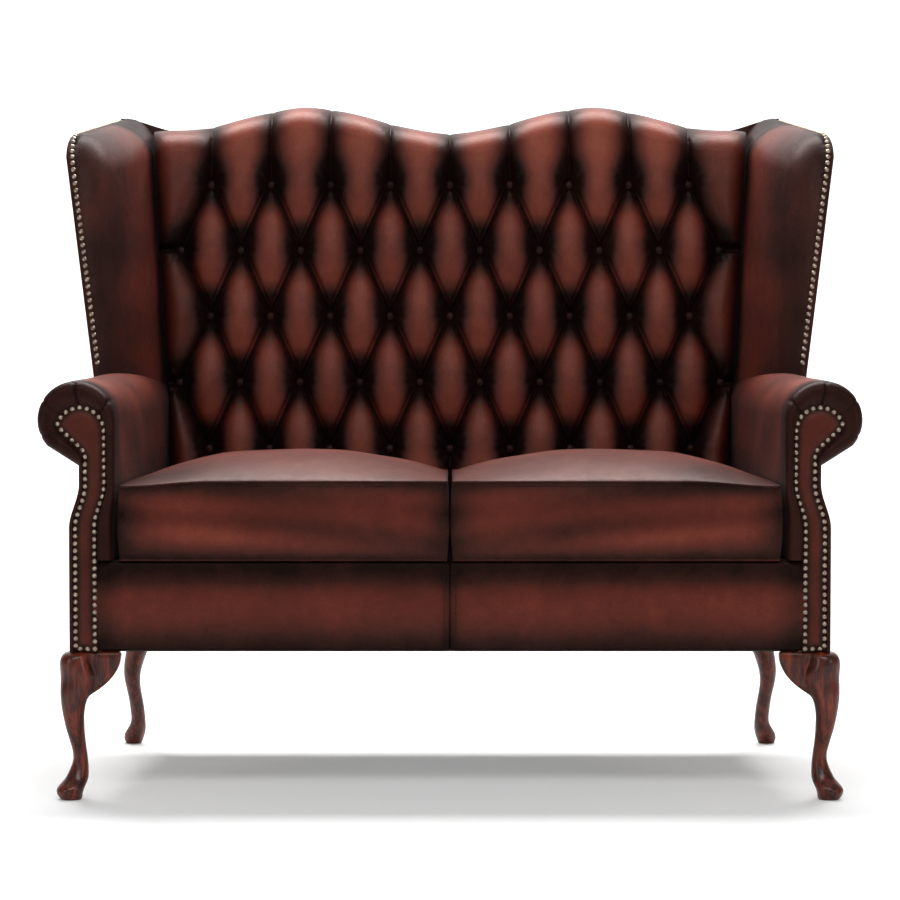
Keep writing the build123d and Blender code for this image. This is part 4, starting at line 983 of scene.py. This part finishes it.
def place_wing(u, v):
    # The loop runs along the inside to the nose, along the outside, and then across the rear.
    on_inside, on_outside = u <= INSIDE_END, u <= OUTSIDE_END
    outside = np.clip((u - INSIDE_END) / (OUTSIDE_END - INSIDE_END), 0, 1)
    closing = np.clip((u - OUTSIDE_END) / (1 - OUTSIDE_END), 0, 1)
    back_share = np.where(on_inside, 1 - np.clip(u / INSIDE_END, 0, 1), outside) ** 1.35
    z = WING_BASE + (HEIGHT - WING_BASE) * v
    for _ in range(14):
        front, rear = back_y(z, WING_REACH), back_y(z, PANEL + 0.5 * MM)
        y = front + (rear - front) * back_share
        top = wing_top(y)
        z = WING_BASE + (top - WING_BASE) * v
    to_front, to_top = y - back_y(z, WING_REACH), (top - z) * 0.98
    inner, outer = wing_inner(y, z), wing_outer(y, z)
    thick = outer - inner
    meet = 1 - np.minimum(14 * MM / thick, 0.5)

    def rounding(front, top):
        """How far an edge is drawn in: nothing at the given distances, all of it at the edge."""
        short_front = np.clip(1 - to_front / front, 0, 1)
        short_top = np.clip(1 - to_top / top, 0, 1)
        short = (short_front**4 + short_top**4) ** 0.25
        return 1 - np.sqrt(1 - np.clip(short, 0, 1) ** 2)

    draw_in = rounding(45 * MM, 60 * MM)
    draw_out = rounding(9 * MM, 9 * MM)
    x_in = inner + thick * meet * draw_in
    x_out = outer - thick * (1 - meet) * draw_out
    to_pad = back_y(z, PAD_IN) - y
    plump = np.clip(to_front / 0.12, 0, 1) * np.clip(to_top / 0.12, 0, 1) * np.clip(to_pad / 0.09, 0, 1)
    x_in = x_in - 5 * MM * ease(plump) + 0.8 * MM * ripple(0 * x_in, y, z, 0.2, 3) * ease(plump)
    x_out = x_out + 2.5 * MM * ease(np.clip(to_front / 0.08, 0, 1) * np.clip(to_top / 0.08, 0, 1))
    x = np.where(on_inside, x_in, np.where(on_outside, x_out, x_out + (x_in - x_out) * closing))
    on_edge = np.exp(-((np.minimum(to_front, to_top) / (16 * MM)) ** 2))
    to_back = np.clip(to_pad / (WING_REACH - PAD_IN), 0, 1)
    # Painted shade: the inside face is darkened where it meets the back. It is also darker towards the
    # front edge.
    red = ease(to_back / 0.16) * (1 - 0.75 * ease((to_back - 0.3) / 0.55))
    rubbed_and_shaded = 0.14 + 0.46 * red + 0.12 * ripple(x, y, z, 0.14, 4) - 0.06 * on_edge
    return np.stack([x, y, z], axis=1), np.where(on_inside, rubbed_and_shaded, 0.3)


wing_right = cover("wing_right", WING_AROUND, WING_ROWS, place_wing)
sew(wing_right, 1e-4)
dress_pair(wing_right, ["wing_pad", "outside_wing"])

# %% [markdown]
# ## Outside arms and outside back
#
# The outsides are plain covers over cloth and thin wadding, stretched and tacked to the
# frame. Each is a grid on the outer face that a Solidify modifier turns into a panel.


# %% Outside panels
def place_outside_arm(u, v):
    z = LEG_HEIGHT + (ROLL_Z - 40 * MM - LEG_HEIGHT) * v
    x = kicked(NECK_OUT, z)
    y = FACE_Y + (back_y(z, PANEL + 0.5 * MM) - FACE_Y) * u
    edge = np.minimum(np.minimum(u, 1 - u) * 0.6, np.minimum(v, 1 - v) * 0.3)
    plump = ease(edge / (35 * MM))
    x = x - 2 * MM + 3 * MM * plump + 0.8 * MM * ripple(0 * x, y, z, 0.22, 8) * plump
    return np.stack([x - drawn_in(y), y, z], axis=1), 0.28 + 0.3 * plump


def place_outside_back(u, v):
    side = 1 - 2 * u
    ear = (wing_outer(back_y(EAR_Z, 0), EAR_Z), EAR_Z)
    z = LEG_HEIGHT + (HEIGHT - LEG_HEIGHT) * v
    for _ in range(6):
        base = BASE_OUT - drawn_in(back_y(np.minimum(z, KICK_LOW), 0))
        neck = NECK_OUT - drawn_in(back_y(KICK_HIGH, 0))
        waist = wing_outer(back_y(ARM_TOP, 0), ARM_TOP)
        kick = base + (neck - base) * ease((z - KICK_LOW) / (KICK_HIGH - KICK_LOW))
        waisted = neck + (waist - neck) * np.clip((z - KICK_HIGH) / (ARM_TOP - KICK_HIGH), 0, 1)
        winged = np.where(z < ARM_TOP, waisted, wing_outer(back_y(z, 0), z))
        x = side * np.where(z < KICK_HIGH, kick, winged)
        z = LEG_HEIGHT + (top_z(x, ear) - 2 * MM - LEG_HEIGHT) * v
    edge = np.minimum(np.minimum(u, 1 - u) * 1.1, np.minimum(v, 1 - v) * 0.85)
    plump = ease(edge / (60 * MM))
    y = back_y(z, 1.5 * MM) + 4 * MM * plump + 1.2 * MM * ripple(x, 0 * x, z, 0.3, 21) * plump
    return np.stack([x, y, z], axis=1), 0.25 + 0.34 * plump


outside_arm_right = cover("outer_arm_right", 120, 70, place_outside_arm)
thicken(outside_arm_right, 5 * MM)
dress_pair(outside_arm_right, ["outside_arm"])
outside_back = cover("outer_back", 200, 150, place_outside_back)
thicken(outside_back, 5 * MM)
dress(outside_back, "frame", ["outside_back"])

# %% [markdown]
# ## The front border
#
# Below the cushions a padded border covers the front rail. It is sewn from two halves, so a
# seam runs down the middle. Its section is a loop with a bulging front and rounded corners,
# drawn from the middle to the arm front.

# %% Front border
BORDER_FRONT, BORDER_BACK = FACE_Y + 2 * MM, FACE_Y + 21.7 * MM
BORDER_END = FRAME_X + 12 * MM
SEAM_GAP = 0.15 * MM
UNDER_END, FRONT_END, TOP_END = 0.06, 0.56, 0.62


def place_border(u, v):
    # The loop runs forward below, up the front, back over the top and down behind.
    height = PLATFORM_TOP - LEG_HEIGHT
    up = np.clip((u - UNDER_END) / (FRONT_END - UNDER_END), 0, 1)
    up = np.where(u > TOP_END, np.clip(1 - (u - TOP_END) / (1 - TOP_END), 0, 1), up)
    z = LEG_HEIGHT + height * up
    across = SEAM_GAP + (BORDER_END - SEAM_GAP) * v
    bulge = 4 * up * (1 - up)
    short = np.clip(1 - np.minimum(up, 1 - up) * height / (7 * MM), 0, 1)
    corner = 6 * MM * (1 - np.sqrt(1 - short**2))
    seam = 3.0 * MM * np.exp(-((across / (7 * MM)) ** 2))
    wave = 1.0 * MM * ripple(across, 0 * across, z, 0.2, 17) * np.clip(bulge, 0, 1)
    front = BORDER_FRONT + 5 * MM * (1 - bulge) + corner + seam - wave - 2 * MM * bulge
    below = np.clip(1 - u / UNDER_END, 0, 1)
    behind = np.clip((u - FRONT_END) / (TOP_END - FRONT_END), 0, 1)
    y = front + (BORDER_BACK - front) * np.maximum(below, behind)
    # Painted shadow: the front is darkened along its top, under the overhang of the cushions.
    rubbed_and_shaded = 0.02 + 0.6 * np.clip(bulge, 0, 1) ** 1.3 * ease((1.02 - up) / 0.4)
    dark_seam = 0.22 * np.exp(-((across / (14 * MM)) ** 2))
    dark_end = 0.2 * ease((across - 0.51) / 0.04)
    return np.stack([across, y, z], axis=1), rubbed_and_shaded - dark_seam - dark_end


border_right = cover("front_band_right", 100, 160, place_border)
sew(border_right)
dress_pair(border_right, ["front_border"])

# %% [markdown]
# ## The loose seat cushions
#
# A seat cushion is a box of leather over foam: a domed top, a border round the sides and thin
# piping along both seams. It starts as a cube that is cut finely, and each point is moved to
# the plan of the seat. The top gets its crown, and the border swells between the seams.

# %% Cushions
CUSHION_BASE, CUSHION_TOP = PLATFORM_TOP + 0.6 * MM, PLATFORM_TOP + 124.3 * MM
CUSHION_FRONT = FACE_Y + 2 * MM
CUSHION_REAR = back_y(CUSHION_BASE, PAD_IN) - 14 * MM
CUSHION_CROWN = 40 * MM


def cushion_shape(a, b, c):
    """Moves a point of the cube from -1..1 each way to the right-hand cushion."""
    y = CUSHION_FRONT + (CUSHION_REAR - CUSHION_FRONT) * (b + 1) / 2
    swell_c = 1 - c**2
    on_side = np.abs(a) ** 14
    on_end = np.abs(b) ** 14
    left = 5.0 * MM
    right = ARM_INNER - drawn_in(y) - 8 * MM
    middle, half = (left + right) / 2, (right - left) / 2
    x = middle + a * (half + 4 * MM * swell_c * on_side)
    y = y + np.sign(b) * 7 * MM * swell_c * on_end * (1 - 0.25 * a**2) * np.where(b < 0, 1.2, 0.4)
    crown = np.clip(1 - np.abs(a) ** 2.3, 0, 1) ** 0.9 * np.clip(1 - np.abs(b) ** 2.3, 0, 1) ** 0.8
    lift = ease((c + 1) / 2)
    seam = CUSHION_TOP - 13 * MM * ((b + 1) / 2) ** 2 - 8 * MM * ease((a - 0.45) / 0.55) * (1 - b) / 2
    z = CUSHION_BASE + (seam - CUSHION_BASE) * (c + 1) / 2 + CUSHION_CROWN * crown * lift**2
    waves = ripple(x, y, z, 0.15, 31)
    z = z + 1.3 * MM * waves * crown * lift
    y = y - 1.2 * MM * ripple(x, 0 * y, z * 1.6, 0.12, 37) * on_end * swell_c
    return np.stack([x, y, z], axis=1)


def make_cushion(name):
    piece = cut_cube(name, 79)
    cube = points_of(piece)
    a, b, c = cube.T
    # A finer cut near the seams keeps their edges crisp.
    a, b = np.sin(a * pi / 2) * 0.35 + a * 0.65, np.sin(b * pi / 2) * 0.35 + b * 0.65
    set_points(piece, cushion_shape(a, b, c))
    on_top = 0.46 + 0.2 * (1 - a**2) * (1 - b**2)
    on_border = 0.03 + 0.6 * (1 - c**2) ** 0.8 * (1 - np.abs(a) ** 8)
    rubbed_and_shaded = np.where(c > 0.999, on_top, on_border)
    rubbed_and_shaded = rubbed_and_shaded + 0.16 * ripple(cube[:, 0] * 0.5, cube[:, 1] * 0.5, cube[:, 2], 0.55, 41)
    set_wear_and_shade(piece, rubbed_and_shaded)
    pick(piece)
    bpy.ops.object.shade_smooth_by_angle(angle=radians(48))
    return piece


def make_piping(name, level):
    """A thin welt along one seam, as a bevelled curve that is made a mesh."""
    rim = np.linspace(-1, 1, 60)
    there = [(s, -1) for s in rim] + [(1, s) for s in rim[1:]]
    back_again = [(s, 1) for s in rim[-2::-1]] + [(-1, s) for s in rim[-2:0:-1]]
    ring = np.array(there + back_again)
    line = cushion_shape(ring[:, 0], ring[:, 1], np.full(len(ring), level))
    curve = bpy.data.curves.new(name, "CURVE")
    curve.dimensions = "3D"
    curve.bevel_depth = 1.8 * MM
    curve.bevel_resolution = 3
    spline = curve.splines.new("POLY")
    spline.points.add(len(line) - 1)
    spline.points.foreach_set("co", np.c_[line, np.ones(len(line))].ravel())
    spline.use_cyclic_u = True
    piece = bpy.data.objects.new(name, curve)
    bpy.context.scene.collection.objects.link(piece)
    pick(piece)
    bpy.ops.object.convert(target="MESH")
    piece = bpy.context.object
    piece.name = name
    bpy.ops.object.shade_smooth()
    set_wear_and_shade(piece, np.full(len(piece.data.vertices), 0.3))
    return piece


cushion_right = make_cushion("seat_cushion_right")
cushion_left = mirrored(cushion_right, "seat_cushion_left")
for side, piece in (("right", cushion_right), ("left", cushion_left)):
    inside = [f"seat_cushion_cover_{side}", f"seat_cushion_core_{side}"]
    dress(piece, f"cushion_{side}", inside)
for level, word in ((1.0, "upper"), (-1.0, "lower")):
    welt_right = make_piping(f"{word}_piping_right", level)
    welt_left = mirrored(welt_right, f"{word}_piping_left")
    for side, piece in (("right", welt_right), ("left", welt_left)):
        assign(piece, f"cushion_{side}", "leather")
print("cushions and piping are made")

# %% [markdown]
# ## Stitches
#
# Waxed thread shows as short stitches beside the middle seam of the border and just under the
# upper seam of the cushions. One stitch is a small stretched sphere of a few dozen faces, and
# its points are repeated along each seam.


# %% Stitches
STITCH_HALF, THREAD_RADIUS, STITCH_PROUD = 2.6 * MM, 0.7 * MM, 0.2 * MM


def make_stitches(name, body, places, ways):
    """A row of stitches at the places, each stretched along its own way."""
    bpy.ops.object.select_all(action="DESELECT")
    bpy.ops.mesh.primitive_uv_sphere_add(segments=6, ring_count=5, radius=1)
    first = bpy.context.object
    ball = points_of(first)
    copies = []
    for place, way in zip(places, ways):
        side = np.cross(way, (0, 1, 0))
        side = side / np.linalg.norm(side)
        lift = np.cross(side, way)
        axes = np.array([way * STITCH_HALF, side * THREAD_RADIUS, lift * THREAD_RADIUS])
        copies.append(place + ball @ axes)
    faces = [list(polygon.vertices) for polygon in first.data.polygons]
    bpy.ops.object.delete()
    mesh = bpy.data.meshes.new(name)
    starts = [len(ball) * turn for turn in range(len(copies))]
    all_faces = [[corner + start for corner in face] for start in starts for face in faces]
    mesh.from_pydata(np.vstack(copies), [], all_faces)
    piece = bpy.data.objects.new(name, mesh)
    bpy.context.scene.collection.objects.link(piece)
    pick(piece)
    in_edit_mode(OUTWARDS)
    bpy.ops.object.shade_smooth()
    set_wear_and_shade(piece, np.full(len(mesh.vertices), 0.22))
    assign(piece, body, "leather")
    print(name, len(copies), "stitches")


def border_front(x, z):
    """The front of the border at a place, read from its finished points."""
    near = points_of(border_right)
    near_x, near_y, near_z = near[near[:, 1] < BORDER_BACK - 4 * MM].T
    found = np.argmin(np.hypot(near_x - x[:, None], near_z - z[:, None]), axis=1)
    return near_y[found]


seam_z = np.arange(LEG_HEIGHT + 14 * MM, PLATFORM_TOP - 12 * MM, 7 * MM)
seam_x = np.full_like(seam_z, 9 * MM)
seam_y = border_front(seam_x, seam_z) - STITCH_PROUD
for side, sign in (("right", 1), ("left", -1)):
    places = np.stack([seam_x * sign, seam_y, seam_z], axis=1)
    upwards = [np.array([0, 0, 1.0])] * len(places)
    make_stitches(f"border_stitches_{side}", "frame", places, upwards)
run = np.linspace(-0.97, 0.97, 74)
line = cushion_shape(run, np.full_like(run, -1.0), np.full_like(run, 0.88))
ways = np.gradient(line, axis=0)
ways /= np.linalg.norm(ways, axis=1)[:, None]
for side, sign in (("right", 1), ("left", -1)):
    flip = np.array([sign, 1, 1])
    places = line * flip - (0, STITCH_PROUD, 0)
    make_stitches(f"cushion_stitches_{side}", f"cushion_{side}", places, ways * flip)

# %% [markdown]
# ## The carved front legs
#
# The CAD leg is a round shank with a bracket on either side. A carver blends them into one
# surface. Voxels of under two millimetres fuse the parts, and a Smooth modifier takes the
# sharp inner corners away, as a spokeshave and scraper would.


# %% Front legs
def copy_of_node(node, name):
    """A picked copy of a CAD node with its own mesh."""
    piece = bpy.data.objects.new(name, nodes[node].data.copy())
    bpy.context.scene.collection.objects.link(piece)
    pick(piece)
    return piece


def carve_leg(side):
    piece = copy_of_node(f"front_leg_{side}", f"carved_leg_{side}")
    use_modifier(piece, "REMESH", mode="VOXEL", voxel_size=1.7 * MM)
    # The knee is smoothed fully, the ankle and foot only a little.
    knee = piece.vertex_groups.new(name="knee")
    for vertex in piece.data.vertices:
        weight = 0.12 + 0.88 * float(ease((vertex.co.z - 0.1) / 0.05))
        knee.add([vertex.index], weight, "REPLACE")
    use_modifier(piece, "SMOOTH", factor=0.5, iterations=60, vertex_group=knee.name)
    bpy.ops.object.shade_smooth()
    assign(piece, "frame", "polished_wood", [f"front_leg_{side}"])
    print(piece.name, len(piece.data.polygons), "faces")


for side in ("left", "right"):
    carve_leg(side)

# %% [markdown]
# ## The springs
#
# The serpentine springs are hidden under the seat, and their CAD mesh is finer than it needs to
# be. A copy is merged into one skin, and a Decimate modifier takes away three faces in five.


# %% Springs
def thin_springs():
    piece = copy_of_node("seat_springs", "bent_springs")
    in_edit_mode((bpy.ops.mesh.remove_doubles, {"threshold": 1e-6}))
    use_modifier(piece, "DECIMATE", ratio=0.4)
    bpy.ops.object.shade_smooth()
    assign(piece, "frame", "steel", ["seat_springs"])
    print(piece.name, len(piece.data.polygons), "faces")


thin_springs()

# %% [markdown]
# ## Linings
#
# Under the cushions lies a thin pad in black lining cloth, and below the rails a dust cover is
# stretched from rail to rail. The pad is a cube cut finely with soft edges, the dust cover a
# thin sheet that hangs a little in the middle.


# %% Platform pad and dust cover
def make_platform():
    low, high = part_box("seat_platform")
    piece = cut_cube("platform_pad", 39)
    a, b, c = points_of(piece).T
    y = low.y + (high.y - low.y) * (b + 1) / 2
    x = a * (FRAME_X - 0.4 * MM - drawn_in(y))
    edge = np.minimum(1 - np.abs(a), (1 - np.abs(b)) * 0.45) * 0.54
    soft = ease(edge / (20 * MM))
    z = np.where(c > 0, low.z + (high.z - low.z) * (0.55 + 0.45 * soft) * c, low.z)
    z = np.where(c > 0, z, low.z + (high.z - low.z) * 0.25 * (1 - soft) * (1 + c))
    set_points(piece, np.stack([x, y, z], axis=1))
    bpy.ops.object.shade_smooth_by_angle(angle=radians(50))
    assign(piece, "frame", "lining", ["seat_platform"])
    return piece


def sheet_half(y):
    """Half the width of the dust cover, which stops short of the side rails' outsides."""
    return FRAME_X - 40 * MM - drawn_in(y)


def make_dust_cover():
    low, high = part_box("dust_cover")
    size_x, size_y = high.x - low.x, high.y - low.y

    def place(u, v):
        y = low.y + size_y * v
        x = (2 * u - 1) * np.minimum(size_x / 2, sheet_half(y))
        hang = 5 * MM * np.sin(pi * u) * np.sin(pi * v)
        return np.stack([x, y, high.z - 0.3 * MM - hang], axis=1), 0 * u

    piece = cover("dust_sheet", 40, 24, place)
    thicken(piece, 0.9 * MM)
    assign(piece, "frame", "lining", ["dust_cover"])
    places = points_of(piece)
    return piece


platform = make_platform()
dust_sheet = make_dust_cover()
print("linings:", platform.name, dust_sheet.name)
